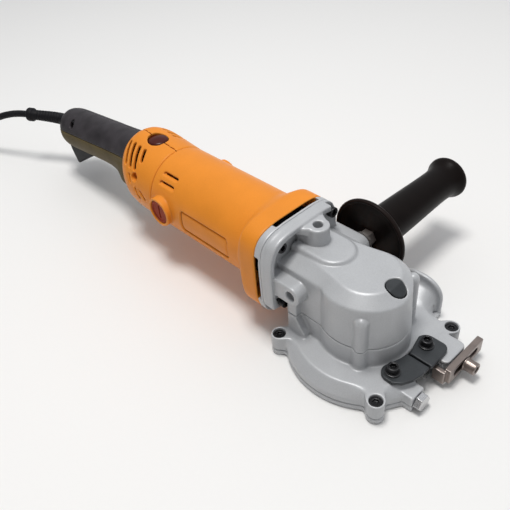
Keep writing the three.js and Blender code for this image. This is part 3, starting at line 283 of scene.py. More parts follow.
def surface(name, color, rough, metal, patches, grain, bump, edge_wear_and_highlight=None, shine=0.5, painted_hollow_shade=0.0):
    """A finish with soft patches, fine grain in colour, roughness and height, lightened edges and darkened
    hollows.

    patches and grain are (scale, change of shade). The edge colour lightens convex edges, partly as real wear
    and partly as painted highlight; the hollow setting darkens concave places as painted shade, where shade
    falls in recesses and creases.
    """
    material = bpy.data.materials.new(name)
    material.use_nodes = True
    nodes, links = material.node_tree.nodes, material.node_tree.links
    shader = nodes["Principled BSDF"]
    place = nodes.new("ShaderNodeTexCoord").outputs["Object"]

    def noise(scale, detail):
        node = nodes.new("ShaderNodeTexNoise")
        node.inputs["Scale"].default_value = scale
        node.inputs["Detail"].default_value = detail
        links.new(place, node.inputs["Vector"])
        return node.outputs["Fac"]

    def remap(value, start, end, low=0.0, high=1.0):
        node = nodes.new("ShaderNodeMapRange")
        for key, number in (("From Min", start), ("From Max", end), ("To Min", low), ("To Max", high)):
            node.inputs[key].default_value = number
        links.new(value, node.inputs["Value"])
        return node.outputs["Result"]

    def spread(value, low, high):
        return remap(value, NOISE_LOW, NOISE_HIGH, low, high)

    def times(a, b):
        node = nodes.new("ShaderNodeMath")
        node.operation = "MULTIPLY"
        links.new(a, node.inputs[0])
        links.new(b, node.inputs[1])
        return node.outputs[0]

    wide, fine = noise(patches[0], 3), noise(grain[0], 2)
    shade = times(spread(wide, 1 - patches[1], 1 + patches[1]), spread(fine, 1 - grain[1], 1 + grain[1]))
    bend = nodes.new("ShaderNodeNewGeometry").outputs["Pointiness"]
    # Painted shade: places of low pointiness (hollows, slot floors, creases) are darkened where shade falls.
    if painted_hollow_shade:
        shade = times(shade, remap(bend, HOLLOW_FROM, HOLLOW_TO, 1 - painted_hollow_shade))
    tint = nodes.new("ShaderNodeVectorMath")
    tint.operation = "SCALE"
    tint.inputs[0].default_value = color
    links.new(shade, tint.inputs["Scale"])
    result = tint.outputs["Vector"]
    # Convex edges (high pointiness) get a lighter colour: partly real edge wear, partly painted highlight
    # lines.
    if edge_wear_and_highlight:
        amount = times(remap(bend, EDGE_FROM, EDGE_TO), spread(noise(patches[0] * 6, 3), 0.5, 1.0))
        mix = nodes.new("ShaderNodeMix")
        mix.data_type = "RGBA"
        mix.inputs["B"].default_value = (*edge_wear_and_highlight, 1)
        links.new(amount, mix.inputs["Factor"])
        links.new(result, mix.inputs["A"])
        result = mix.outputs["Result"]
    links.new(result, shader.inputs["Base Color"])
    links.new(spread(times(wide, fine), rough * 0.9, min(1.0, rough * 1.25)), shader.inputs["Roughness"])
    height = nodes.new("ShaderNodeBump")
    height.inputs["Strength"].default_value = bump
    height.inputs["Distance"].default_value = BUMP_REACH
    links.new(fine, height.inputs["Height"])
    links.new(height.outputs["Normal"], shader.inputs["Normal"])
    shader.inputs["Metallic"].default_value = metal
    shader.inputs["Specular IOR Level"].default_value = shine
    return material


def make_looks():
    """Each look as name, colour, roughness, metal, patches, grain and bump."""
    # In these looks the hollow-darkening amounts are painted shade, and the edge colours are partly real wear
    # and partly painted highlight.
    return {
        "casting": surface(
            "cast_silver_paint", (0.46, 0.47, 0.485), 0.42, 0.15, (60, 0.03), (1400, 0.07), 0.12,
            edge_wear_and_highlight=(0.74, 0.75, 0.76), painted_hollow_shade=0.6,
        ),
        "orange": surface(
            "orange_nylon", (0.77, 0.26, 0.028), 0.4, 0.0, (40, 0.05), (1500, 0.04), 0.07,
            edge_wear_and_highlight=(0.88, 0.42, 0.1), shine=0.14, painted_hollow_shade=0.7,
        ),
        "charcoal": surface(
            "charcoal_nylon", (0.036, 0.032, 0.036), 0.5, 0.0, (60, 0.45), (1600, 0.1), 0.14,
            edge_wear_and_highlight=(0.11, 0.1, 0.11), shine=0.14,
        ),
        # The lower handle shell is the same charcoal nylon as the upper; this olive-brown colour is painted
        # ground reflection and painted underside shade.
        "painted_underside_reflection": surface(
            "charcoal_nylon_painted_reflection", (0.11, 0.085, 0.04), 0.55, 0.0, (45, 0.2), (1600, 0.1), 0.14,
            edge_wear_and_highlight=(0.17, 0.14, 0.09), shine=0.08,
        ),
        "black": surface(
            "black_nylon", (0.006, 0.006, 0.007), 0.4, 0.0, (50, 0.15), (1300, 0.1), 0.1,
            edge_wear_and_highlight=(0.02, 0.02, 0.022), shine=0.05,
        ),
        "grip": surface(
            "black_grip", (0.007, 0.005, 0.0045), 0.4, 0.0, (70, 0.2), (1300, 0.1), 0.1,
            edge_wear_and_highlight=(0.03, 0.02, 0.018), shine=0.07,
        ),
        "rubber": surface(
            "black_rubber", (0.011, 0.011, 0.013), 0.55, 0.0, (80, 0.15), (2200, 0.1), 0.15, shine=0.14
        ),
        "oxide": surface(
            "black_oxide", (0.018, 0.018, 0.02), 0.33, 0.6, (300, 0.2), (2500, 0.15), 0.1,
            edge_wear_and_highlight=(0.3, 0.3, 0.31),
        ),
        "plate": surface(
            "plate_paint", (0.03, 0.034, 0.038), 0.45, 0.2, (150, 0.15), (1200, 0.12), 0.2,
            edge_wear_and_highlight=(0.1, 0.105, 0.11),
        ),
        "steel": surface(
            "zinc_steel", (0.27, 0.225, 0.205), 0.34, 0.85, (200, 0.1), (2200, 0.08), 0.1,
            edge_wear_and_highlight=(0.7, 0.67, 0.65),
        ),
        "ground": surface(
            "ground_steel", (0.55, 0.55, 0.56), 0.28, 0.95, (200, 0.08), (2600, 0.06), 0.08,
            edge_wear_and_highlight=(0.8, 0.8, 0.8),
        ),
        # Blade: metallic steel whose colour is darkened as painted shade, to the darkness of the shaded
        # notch.
        "blade": surface(
            "blade_steel", (0.1, 0.1, 0.105), 0.4, 0.85, (150, 0.15), (2000, 0.08), 0.1, edge_wear_and_highlight=(0.6, 0.6, 0.6)
        ),
        "iron": surface("laminated_iron", (0.16, 0.16, 0.165), 0.5, 0.85, (100, 0.1), (3000, 0.2), 0.2),
        "copper": surface("copper", (0.55, 0.2, 0.08), 0.34, 0.9, (200, 0.1), (2400, 0.08), 0.1),
        "brass": surface("brass", (0.6, 0.4, 0.13), 0.32, 0.9, (200, 0.1), (2400, 0.08), 0.1),
        "cap": surface(
            "brown_cap", (0.3, 0.042, 0.016), 0.45, 0.0, (200, 0.12), (1800, 0.08), 0.1,
            edge_wear_and_highlight=(0.4, 0.11, 0.05), shine=0.06,
        ),
        "maroon": surface(
            "maroon_button", (0.06, 0.008, 0.006), 0.34, 0.0, (120, 0.12), (1500, 0.06), 0.05,
            edge_wear_and_highlight=(0.12, 0.03, 0.02), shine=0.2,
        ),
    }


# ---- fields: negative inside, in millimetres ----
def blend(a, b, k):
    """Union with a fillet of about k."""
    h = np.maximum(k - np.abs(a - b), 0) / k
    return np.minimum(a, b) - h * h * k / 4


def meet(a, b, k=0.8):
    return -blend(-a, -b, k)


def carve(a, b, k=0.6):
    return -blend(-a, b, k)


def unite(k, *fields):
    result = fields[0]
    for field in fields[1:]:
        result = blend(result, field, k)
    return result


def carve_all(body, k, *tools):
    for tool in tools:
        body = carve(body, tool, k)
    return body


def ease(t):
    """From 0 to 1 with level ends."""
    return t * t * (3 - 2 * t)


def disc(u, v, cu, cv, r):
    return np.hypot(u - cu, v - cv) - r


def segment(u, v, start, end, r):
    """A round-ended bar from start to end."""
    (au, av), (bu, bv) = start, end
    du, dv = bu - au, bv - av
    t = np.clip(((u - au) * du + (v - av) * dv) / (du * du + dv * dv), 0, 1)
    return np.hypot(u - au - t * du, v - av - t * dv) - r


def rect(u, v, u0, u1, v0, v1, r=0.0):
    a = np.abs(u - (u0 + u1) / 2) - (u1 - u0) / 2 + r
    b = np.abs(v - (v0 + v1) / 2) - (v1 - v0) / 2 + r
    return np.hypot(np.maximum(a, 0), np.maximum(b, 0)) + np.minimum(np.maximum(a, b), 0) - r


def extrude(flat, w, low, high, r=0.0):
    """A flat outline's field given depth along w, its rims rounded by r."""
    a = flat + r
    b = np.maximum(low - w, w - high) + r
    return np.hypot(np.maximum(a, 0), np.maximum(b, 0)) + np.minimum(np.maximum(a, b), 0) - r


def block(X, Y, Z, x0, x1, y0, y1, z0, z1, r=0.0):
    return extrude(rect(X, Y, x0, x1, y0, y1, r), Z, z0, z1, r)


def polygon(u, v, points):
    """Any closed outline."""
    near, sign = 1e12, 1.0
    for (au, av), (bu, bv) in zip(points, points[1:] + points[:1]):
        du, dv = bu - au, bv - av
        t = np.clip(((u - au) * du + (v - av) * dv) / (du * du + dv * dv), 0, 1)
        near = np.minimum(near, (u - au - t * du) ** 2 + (v - av - t * dv) ** 2)
        slope = du / dv if dv else 0.0
        crosses = ((av > v) != (bv > v)) & (u < au + (v - av) * slope)
        sign = np.where(crosses, -sign, sign)
    return sign * np.sqrt(near)


def convex(u, v, points, k):
    """A convex outline, given counter-clockwise, with corners rounded by about k."""
    result = None
    for (au, av), (bu, bv) in zip(points, points[1:] + points[:1]):
        length = math.hypot(bu - au, bv - av)
        side = ((u - au) * (bv - av) - (v - av) * (bu - au)) / length
        result = side if result is None else meet(result, side, k)
    return result


def loft(a, b, w, low, high, clamp=True):
    """From outline a at low to outline b at high."""
    t = (w - low) / (high - low)
    if clamp:
        t = np.clip(t, 0, 1)
    return (a + t * (b - a)) / np.sqrt(1 + ((b - a) / (high - low)) ** 2)


def hexagon(u, v, r):
    """r is the distance from the middle to a flat."""
    return np.maximum(np.abs(u), np.abs(u) / 2 + np.abs(v) * math.cos(math.pi / 6)) - r


# ---- from field to mesh ----
def net(field, low, cell):
    """Corners and four-sided faces of a field's zero surface."""
    axes = np.eye(3, dtype=np.int64)
    inside = field < 0
    shape = np.array(field.shape)
    stride = np.array([shape[1] * shape[2], shape[2], 1])
    cells, spots, loops = [], [], []
    for axis in range(3):
        step, u, v = axes[axis], axes[(axis + 1) % 3], axes[(axis + 2) % 3]
        near = inside[tuple(slice(0, n - s) for n, s in zip(shape, step))]
        far = inside[tuple(slice(s, None) for s in step)]
        at = np.argwhere(near != far)
        a = field[tuple(at.T)].astype(float)
        b = field[tuple((at + step).T)].astype(float)
        spot = at + np.outer(a / (a - b), step)
        ring = np.stack([at - u - v, at - v, at, at - u], 1)
        ring[a > 0] = ring[a > 0][:, ::-1]
        loops.append(ring @ stride)
        cells.append(loops[-1].ravel())
        spots.append(np.repeat(spot, 4, 0))
    names, index = np.unique(np.concatenate(cells), return_inverse=True)
    spots = np.concatenate(spots)
    count = np.bincount(index)
    points = np.stack([np.bincount(index, spots[:, k]) / count for k in range(3)], 1)
    faces = np.searchsorted(names, np.concatenate(loops))
    return smoothed(points, faces) * cell + np.array(low), faces.tolist()


def smoothed(points, faces, share=0.5):
    """Each corner moved part of the way to the middle of its neighbours."""
    a = np.concatenate([faces[:, k] for k in range(4)])
    b = np.concatenate([faces[:, (k + 1) % 4] for k in range(4)])
    ends, others = np.concatenate([a, b]), np.concatenate([b, a])
    count = np.bincount(ends, minlength=len(points))
    middle = np.stack([np.bincount(ends, points[others, k], len(points)) / count for k in range(3)], 1)
    return points + share * (middle - points)


def add_mesh(name, points, faces, look, nodes, slot):
    """A smooth piece, its points in millimetres, which stands for the CAD nodes named."""
    mesh = bpy.data.meshes.new(name)
    mesh.from_pydata((points * MM).tolist(), [], faces)
    mesh.materials.append(LOOKS[look])
    mesh.shade_smooth()
    piece = bpy.data.objects.new(name, mesh)
    bpy.context.scene.collection.objects.link(piece)
    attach(piece, NODES[nodes[0]]["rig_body"])
    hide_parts(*nodes)
    return piece


def sculpt(name, low, high, cell, shape, look, slot, *nodes):
    """The surface of shape(X, Y, Z) within a box."""
    axes = [np.arange(a, b + cell, cell, dtype=np.float32) for a, b in zip(low, high)]
    X, Y, Z = np.meshgrid(*axes, indexing="ij", sparse=True)
    field = np.empty([len(a) for a in axes], np.float32)
    field[...] = shape(X, Y, Z)
    for axis in range(3):
        edge = np.moveaxis(field, axis, 0)
        edge[0] = np.maximum(edge[0], 0.01)
        edge[-1] = np.maximum(edge[-1], 0.01)
    points, faces = net(field, low, cell)
    return add_mesh(name, points, faces, look, nodes, slot)


def lathe(name, profile, axis, place, look, slot, *nodes, sides=72, closed=False):
    """A profile of (radius, along) pairs turned about an axis: 0 is X, 1 is Y, 2 is Z."""
    angles = np.linspace(0, 2 * math.pi, sides, endpoint=False)
    rings = []
    for r, along in profile:
        ring = np.zeros((sides, 3))
        ring[:, axis] = along
        ring[:, (axis + 1) % 3] = r * np.cos(angles)
        ring[:, (axis + 2) % 3] = r * np.sin(angles)
        rings.append(ring)
    points = np.concatenate(rings) + np.array(place)
    return add_mesh(name, points, tube_faces(len(profile), sides, closed), look, nodes, slot)


def tube_faces(rings, sides, closed=False):
    """Four-sided faces between rings. The last ring joins the first, or both ends are capped."""
    faces = []
    for r in range(rings if closed else rings - 1):
        low, high = r * sides, (r + 1) % rings * sides
        for i in range(sides):
            j = (i + 1) % sides
            faces.append([low + i, low + j, high + j, high + i])
    if not closed:
        faces.append(list(range(sides))[::-1])
        faces.append(list(range((rings - 1) * sides, rings * sides)))
    return faces


# ---- blade case and base cover ----
def at_case_screws(X, Y, r):
    return np.minimum.reduce([disc(X, Y, x, y, r) for x, y in SCREW_PLACES])


def case_outlines(X, Y):
    """The case's outline, and that of its flat top, which runs out over the screw bosses."""
    bosses = at_case_screws(X, Y, BOSS_R)
    return blend(np.hypot(X, Y) - CASE_R, bosses, 6), blend(np.hypot(X, Y) - CASE_FLAT_R, bosses, 17)


CHUTE = [(-12, 2.7), (21.5, 2.7), (21.5, 21), (12, 28.5), (-6, 28.5), (-12, 22)]
CHUTE_BORE = [(-10, 2.4), (19.5, 2.4), (19.5, 20), (11, 26.5), (-5.5, 26.5), (-10, 21)]
CHUTE_LIP = [(-16, 0.4), (25.5, 0.4), (25.5, 25.5), (15, 35), (-6.5, 35), (-16, 25)]
CHUTE_ROOT, LIP_BACK, CHUTE_MOUTH = 40.0, 63.0, 66.5


def chute_height(Y, Z):
    """Heights in the chute's own section, which grows from its root to its mouth."""
    along = np.clip((Y - CHUTE_ROOT) / (LIP_BACK - CHUTE_ROOT), 0, 1)
    return np.where(Z > 10, 10 + (Z - 10) / (0.35 + 0.65 * along), Z)


def head_outline(X, Y, nose, side, less=0.0, rear_side=None):
    """A round nose and straight sides. less narrows the nose on the +Y side."""
    rear_side = side if rear_side is None else rear_side
    turn = math.pi - math.asin(side / nose)
    points = [(HEAD_REAR, -rear_side)]
    for i in range(41):
        a = -turn + 2 * turn * i / 40
        t = min(max(math.sin(a) + 0.3, 0.0), 1.0)
        r = nose - less * t * t * (3 - 2 * t)
        points.append((r * math.cos(a), r * math.sin(a)))
    points.append((HEAD_REAR, rear_side - 0.8 * less))
    return polygon(X, Y, points)


EAR = [
    (-44, 16), (-27.5, 16), (-27.5, 21.7), (-35.5, 34), (-35.5, PARTING_Z - 0.2), (-44, PARTING_Z - 0.2),
]


def blade_case(X, Y, Z):
    floor = COVER_TOP + GAP
    top = PARTING_Z - 0.2
    away = np.hypot(X, Y)
    outer, flat = case_outlines(X, Y)
    body = meet(loft(outer, flat, Z, CASE_SIDE, CASE_TOP), Z - CASE_TOP, 0.9)
    lug = extrude(rect(X, Y, *STOPPER_LUG, 4), Z, 0, CASE_TOP, 0.9)
    small_lug = block(X, Y, Z, *BOLT_LUG, 0, 14.2, 1.0)
    body = unite(1.6, body, lug, small_lug)
    collar = meet(extrude(head_outline(X, Y, *COLLAR), Z, 10, top, 0.4), -51 - X)
    rib_x, rib_y = RIB_PLACE
    ribs = np.minimum(disc(X, Y, rib_x, rib_y, 4.8), disc(X, Y, rib_x, -rib_y, 4.8))
    collar = blend(collar, extrude(ribs, Z, 10, top, 0.4), 2.5)
    ears = extrude(polygon(X, Z, EAR), np.abs(Y), 25, 37.3, 0.6)
    body = blend(body, blend(collar, ears, 2), 2.4)
    height = chute_height(Y, Z)
    chute = extrude(convex(X, height, CHUTE, 5), Y, CHUTE_ROOT - 6, CHUTE_MOUTH - 1)
    lip = extrude(convex(X, Z, CHUTE_LIP, 6), Y, LIP_BACK - 0.6, CHUTE_MOUTH, 1.7)
    body = blend(body, blend(chute, lip, 3), 3)
    body = meet(body, floor - Z, 0.4)
    chamber = loft(away - CHAMBER_R, away - 50.5, Z, 9.5, CHAMBER_TOP)
    chamber = meet(chamber, Z - CHAMBER_TOP, 0.5)
    bore = extrude(convex(X, height, CHUTE_BORE, 4), Y, 42, 80)
    body = carve(body, np.minimum(chamber, bore), 0.6)
    seats = np.minimum(
        extrude(disc(X, Y, 0, 0, SPINDLE_SEAT_R), Z, 22, 60),
        extrude(disc(X, Y, 0, 0, SPINDLE_HOLE_R), Z, 10, 30),
    )
    seats = np.minimum(seats, extrude(disc(X, Y, SHAFT2_X, 0, SHAFT2_SEAT_R), Z, 28.7, 60))
    wells = at_case_screws(X, Y, CASE_SCREW_WELL_R)
    wells = np.minimum(extrude(wells, Z, 13.4, 30), extrude(wells + 2.2, Z, 0, 30))
    bolts = np.minimum(disc(Y, Z, *STOPPER_BOLT, STOPPER_BORE_R), disc(Y, Z, *HEX_BOLT, HEX_BOLT_BORE_R))
    plates = np.minimum(
        disc(X, Y, *PLATE_SCREW_RIGHT, PLATE_HOLE_R), disc(X, Y, *PLATE_SCREW_LEFT, PLATE_HOLE_R)
    )
    return carve_all(
        body, 0.7,
        rect(X, Y, *NOTCH) + 0 * Z,
        block(X, Y, Z, *LEG_POCKET, 0, 16.7, 0.5),
        seats,
        wells,
        extrude(bolts, X, 50, 80),
        extrude(plates, Z, 13, 30),
    )


def base_cover(X, Y, Z):
    outer, _ = case_outlines(X, Y)
    body = extrude(outer, Z, 0, COVER_TOP, 1.3)
    lug = block(X, Y, Z, *BOLT_LUG, 0, 8, 1.0)
    lip = extrude(convex(X, Z, CHUTE_LIP, 3), Y, CHUTE_ROOT, CHUTE_MOUTH, 1.0)
    body = meet(unite(1.4, body, lug, lip), Z - COVER_TOP, 0.4)
    return carve_all(
        body, 0.6,
        extrude(np.hypot(X, Y) - CHAMBER_R, Z, COVER_FLOOR, 30),
        block(X, Y, Z, -10, 19.5, 42, 80, COVER_FLOOR, 30),
        extrude(at_case_screws(X, Y, 2.45), Z, 1.6, 30),
        block(X, Y, Z, *LEG_POCKET, 4.2, 30),
        extrude(disc(Y, Z, *HEX_BOLT, HEX_BOLT_BORE_R), X, 50, 80),
        rect(X, Y, *NOTCH) + 0 * Z,
    )


def make_case():
    low, high = (-73, -73, 5), (73, 73, 37)
    sculpt("blade_case_body", low, high, 0.75, blade_case, "casting", "casting", "blade_case")
    low, high = (-73, -73, -1), (73, 73, 7)
    sculpt("base_cover_body", low, high, 0.7, base_cover, "casting", "casting", "base_cover")


# ---- gear head and bearing plate ----
def flange_outline(Y, Z, inset=0.0):
    """The square flange, narrower on the side handle's side."""
    half = np.where(Y > 0, *FLANGE_HALF) - inset
    across, up = np.abs(Y / half), np.abs((Z - MOTOR_Z) / (FLANGE_RISE - inset))
    norm = (across ** FLANGE_POWER + up ** FLANGE_POWER) ** (1 / FLANGE_POWER)
    away = np.hypot(Y, Z - MOTOR_Z)
    return away * (1 - 1 / np.maximum(norm, 1e-3))


def head_screw_holes(X, Y, Z, low, high):
    holes = np.minimum.reduce([disc(Y, Z, y, z, HEAD_SCREW_HOLE_R) for y, z in HEAD_SCREWS])
    return extrude(holes, X, low, high)


def gear_head(X, Y, Z):
    low = PARTING_Z + GAP
    foot, brow, plateau = [head_outline(X, Y, *outline) for outline in (FOOT, BROW, PLATEAU)]
    wall = loft(foot, brow, Z, PARTING_Z, HEAD_BROW)
    slope = loft(brow, plateau, Z, HEAD_BROW, HEAD_TOP, clamp=False)
    body = meet(meet(wall, slope, 0.7), Z - HEAD_TOP, 0.8)
    pad = extrude(segment(X, Y, (SHAFT2_X, 0), (-60, 0), PAD_R), Z, 70, PAD_TOP, 3.4)
    body = blend(body, meet(pad, -58 - X), 1.0)
    from_rib = np.hypot(X - RIB_PLACE[0], np.abs(Y) - RIB_PLACE[1])
    body = blend(body, segment(from_rib, Z, (0, 30), (0, 61.7), 4.7), 1.6)
    plate = extrude(flange_outline(Y, Z), X, FLANGE_REAR, FLANGE_FLOOR + 0.4, 0.5)
    rim = extrude(np.maximum(flange_outline(Y, Z), -flange_outline(Y, Z, 5)), X, -61, FLANGE_FRONT, 1.5)
    rim = meet(rim, Y - 23, 1.5)
    body = blend(body, blend(plate, rim, 1.6), 1.6)
    boss = segment(X, Z, (SIDE_BOSS_X, MOTOR_Z), (-61, MOTOR_Z), SIDE_BOSS_R)
    boss = extrude(boss, np.abs(Y), 20, 41, 1.2)
    leg = block(X, np.abs(Y), Z, -43.6, -35.6, 20, 36.8, 30, MOTOR_Z, 1.0)
    body = blend(body, blend(boss, leg, 1.6), 1.4)
    eye = extrude(segment(X, Y, (EYE_X, 0), (-60, 0), EYE_R), Z, 74, EYE_TOP, 1.2)
    spread = [(-61, -15.5), (-54, -14), (EYE_X, -8.7), (EYE_X, 8.7), (-54, 14), (-61, 15.5)]
    eye = blend(eye, extrude(convex(X, Y, spread, 3), Z, 89.5, EYE_TOP, 1.2), 2)
    body = blend(body, eye, 1.2)
    body = meet(body, low - Z, 0.4)
    return carve_all(
        body, 0.9,
        extrude(disc(X, Y, 0, 0, HEAD_SEAT_R), Z, 60, 76.6),
        extrude(disc(X, Y, SHAFT2_X, 0, SHAFT2_SEAT_R), Z, 60, 78.4),
        extrude(disc(X, Y, LOCK_X, 0, LOCK_HOLE_R), Z, 60, 95),
        extrude(disc(Y, Z, 0, MOTOR_Z, MOTOR_SEAT_R), X, -75, -50),
        extrude(disc(X, Z, SIDE_BOSS_X, MOTOR_Z, SOCKET_R), np.abs(Y), 31, 50),
        extrude(disc(X, Y, EYE_X, 0, EYE_HOLE_R), Z, 84, 99),
        head_screw_holes(X, Y, Z, -75, -50),
        np.maximum(extrude(head_outline(X, Y, *CAVITY), Z, 20, 69.5), -57 - X),
    )


def bearing_plate(X, Y, Z):
    body = extrude(flange_outline(Y, Z), X, PLATE_REAR, FLANGE_REAR - GAP, 0.6)
    body = np.minimum(body, extrude(disc(Y, Z, 0, MOTOR_Z, MOTOR_SEAT_R - GAP), X, -73, -64, 0.4))
    return carve_all(
        body, 0.5,
        extrude(disc(Y, Z, 0, MOTOR_Z, 13.3), X, -90, -63.9),
        extrude(disc(Y, Z, 0, MOTOR_Z, 9), X, -90, -50),
        head_screw_holes(X, Y, Z, -90, -50),
        block(X, Y, Z, -75, VENT_FRONT, *TOP_VENT, 88, 110, 0.6),
        block(X, Y, Z, -75, VENT_FRONT, -50, -31, *SIDE_VENT, 0.6),
        block(X, Y, Z, -75, VENT_FRONT, 28, 50, *SIDE_VENT, 0.6),
    )


def make_head():
    low, high = (-64, -46, 35), (37, 43, 98)
    sculpt("gear_head_body", low, high, 0.72, gear_head, "casting", "casting", "gear_head")
    low, high = (-74, -46, 18), (-62, 38, 100)
    sculpt("bearing_plate_body", low, high, 0.72, bearing_plate, "casting", "casting", "bearing_plate")


# ---- motor housing and rear cover ----
def around(Y, Z):
    """Height round the barrel, in degrees up from the -Y side."""
    return np.degrees(np.arctan2(Z - MOTOR_Z, -Y))


def motor_housing(X, Y, Z):
    away = np.hypot(Y, Z - MOTOR_Z)
    square = ease(np.clip((X + 98) / 14, 0, 1))
    block_r = away - flange_outline(Y, Z)
    shell = away - (MOTOR_R + square * (block_r - MOTOR_R))
    body = meet(shell * 0.85, np.maximum(HOUSING_REAR - X, X - PLATE_REAR + GAP), 1.0)
    bosses = extrude(disc(X, Z, BRUSH_X, MOTOR_Z, BRUSH_BOSS_R), np.abs(Y), 20, 41.3, 0.5)
    body = blend(body, bosses, 1.2)
    panel = rect(X, Z, *PANEL)
    side = around(Y, Z) * math.radians(1) * MOTOR_R
    vents = block(X, Y, Z, -80, -50, *TOP_VENT, 80, 110)
    vents = np.minimum(vents, block(X, Y, Z, -80, -50, -50, 50, *SIDE_VENT))
    tools = [
        away - MOTOR_BORE_R,
        extrude(disc(X, Z, BRUSH_X, MOTOR_Z, BRUSH_HOLE_R), np.abs(Y), 0, 60),
        head_screw_holes(X, Y, Z, -81, -50),
        np.maximum(np.maximum(panel, MOTOR_R - 0.9 - away), Y),
        np.maximum(np.maximum(np.abs(panel + 0.6) - 0.6, MOTOR_R - 2 - away), Y),
        np.maximum(vents, flange_outline(Y, Z) + VENT_SKIN),
    ]
    x0, x1 = LOUVRE
    for middle in LOUVRE_RISES:
        louvre = segment(X, side, (x0, middle), (x1, middle), LOUVRE_R)
        slope = MOTOR_R - 2.6 * np.clip((side - middle + LOUVRE_R) / (2 * LOUVRE_R), 0, 1) ** 0.7
        opening = segment(X, side, (x0, middle + 1.2), (x1, middle + 1.2), 0.8)
        tools += [np.maximum(louvre, slope - away), np.maximum(opening, 25 - away)]
    return carve_all(body, 0.4, *tools)


# Round sections of the rear cover: x, height of the middle, radius.
COVER_RINGS = [
    (COVER_REAR, 70, 24.6), (-264, 70, 27.4), (-260, 68.8, 30.8), (-255, 65.8, 34.2), (-248, 62.6, 36.6),
    (-238, 60.6, 37), (COVER_FRONT, MOTOR_Z, MOTOR_R),
]
# Cooling slots on the -Y side as (from x, to x, from angle, to angle, width); +Y mirrors them.
COVER_SLOTS = [
    (-258.5, -251.5, 65, 38, 3.4), (-251.5, -244.5, 65, 36.5, 3.4), (-244.5, -238, 64.5, 36, 3.4),
    (-237, -233.5, 64, 50, 3.4), (-243.7, -241.4, 25.4, 14.6, 2), (-235, -230.4, 9.4, -5, 2),
    (-227.5, -221.9, 8, -2.4, 2),
]


def cover_shape(X, Y, Z, thin=0.0):
    """Round sections whose middle rises towards the handle."""
    stations = np.array(COVER_RINGS)
    spots = [X + shift for shift in (-1.5, 0, 1.5)]
    middle = sum(np.interp(x, stations[:, 0], stations[:, 1]) for x in spots) / 3
    r = sum(np.interp(x, stations[:, 0], stations[:, 2]) for x in spots) / 3
    return (np.hypot(Y, Z - middle) - r + thin) * 0.9


def rear_cover(sign):
    def shape(X, Y, Z):
        side = sign * Y
        body = meet(cover_shape(X, Y, Z), np.maximum(COVER_REAR - X, X - COVER_FRONT), 1.6)
        inside = meet(cover_shape(X, Y, Z, COVER_WALL), np.maximum(COVER_REAR + COVER_WALL - X, X + 200))
        body = carve(body, inside, 0.5)
        axle = np.hypot(Y, Z - MOTOR_Z)
        ring = extrude(np.maximum(axle - 13.5, 11.4 - axle), X, -222, COVER_FRONT)
        spoke = block(X, side, Z, -222, COVER_FRONT, 12, 34.8, MOTOR_Z - 1.5, MOTOR_Z + 1.5)
        body = np.minimum(body, np.minimum(ring, spoke))
        body = meet(body, 0.15 - side, 0.3)
        well = disc(X, Z, *COVER_WELL, COVER_WELL_R)
        column = np.maximum(extrude(well - 1.5, side, 8, 40), cover_shape(X, Y, Z, 1.5))
        body = np.minimum(body, column)
        height = np.arctan2(Z - MOTOR_Z, side) * SLOT_ROUND_R
        tools = [
            extrude(well, side, 2, 50),
            extrude(disc(Y, Z, 0, HANDLE_ROOT[1], HANDLE_MOUTH_R), X, -280, -255),
            extrude(disc(X, Y, BUTTON_X, 0, BUTTON_HOLE_R), Z, 80, 110),
        ]
        for x0, x1, high, low, width in COVER_SLOTS:
            ends = (x0, math.radians(high) * SLOT_ROUND_R), (x1, math.radians(low) * SLOT_ROUND_R)
            recess = np.maximum(segment(X, height, *ends, width / 2), -SLOT_DEPTH - cover_shape(X, Y, Z))
            opening = segment(X + 0.3 * width, height, *ends, width / 6)
            tools += [recess, np.maximum(opening, SLOT_BOTTOM_R - axle)]
        return carve_all(body, 0.4, *tools)

    return shape


def make_motor():
    look = ("orange", "orange_housing")
    sculpt("motor_housing_body", (-213, -46, 18), (-68, 43, 100), 0.8, motor_housing, *look, "motor_housing")
    for side, sign, y0, y1 in (("left", 1, -0.6, 39), ("right", -1, -39, 0.6)):
        name = f"rear_cover_{side}"
        sculpt(f"{name}_body", (-268.5, y0, 20), (-210.5, y1, 101), 0.75, rear_cover(sign), *look, name)


# ---- rear handle ----
# Stations of the handle: distance back from the root, half width above and below its axis,
# and height above and below.
HANDLE_RINGS = np.array([
    (-2, 22, 29, 22, 36), (0, 22, 29, 22, 36), (8, 22, 30, 22, 37.5), (12, 21.8, 29.5, 22, 37),
    (17, 21.6, 27, 22, 33.5), (22, 21.4, 24.6, 22, 30), (30, 21.2, 22.2, 22, 26), (44, 21, 21, 22, 22.5),
    (60, 21.3, 21.3, 22, 20.8), (120, 21.6, 21.6, 22, 20.8), (130, 21.2, 21.2, 22, 20.4),
    (137, 19.4, 19.4, 21.2, 18.8), (142.5, 16.2, 16.2, 18.2, 15.6), (HANDLE_LENGTH, 12.2, 12.2, 14, 12),
    (150, 7, 7, 8, 7),
])


def handle_frame(X, Z):
    """Distance back from the handle's root and height above its axis."""
    x, z = X - HANDLE_ROOT[0], Z - HANDLE_ROOT[1]
    c, s = math.cos(HANDLE_DROOP), math.sin(HANDLE_DROOP)
    return -(x * c + z * s), z * c - x * s


def handle_shape(back, Y, rise, thin=0.0):
    def station(column):
        spots = [np.interp(back + shift, HANDLE_RINGS[:, 0], HANDLE_RINGS[:, column]) for shift in (-2, 0, 2)]
        return sum(spots) / 3 - thin

    tall = np.where(rise > 0, station(3), station(4))
    wide = station(1) + (station(2) - station(1)) * np.clip(-2 * rise / tall, 0, 1)
    k = np.hypot(Y / wide, rise / tall)
    slope = np.hypot(Y / wide**2, rise / tall**2)
    return k * (k - 1) / np.maximum(slope, 1e-4)


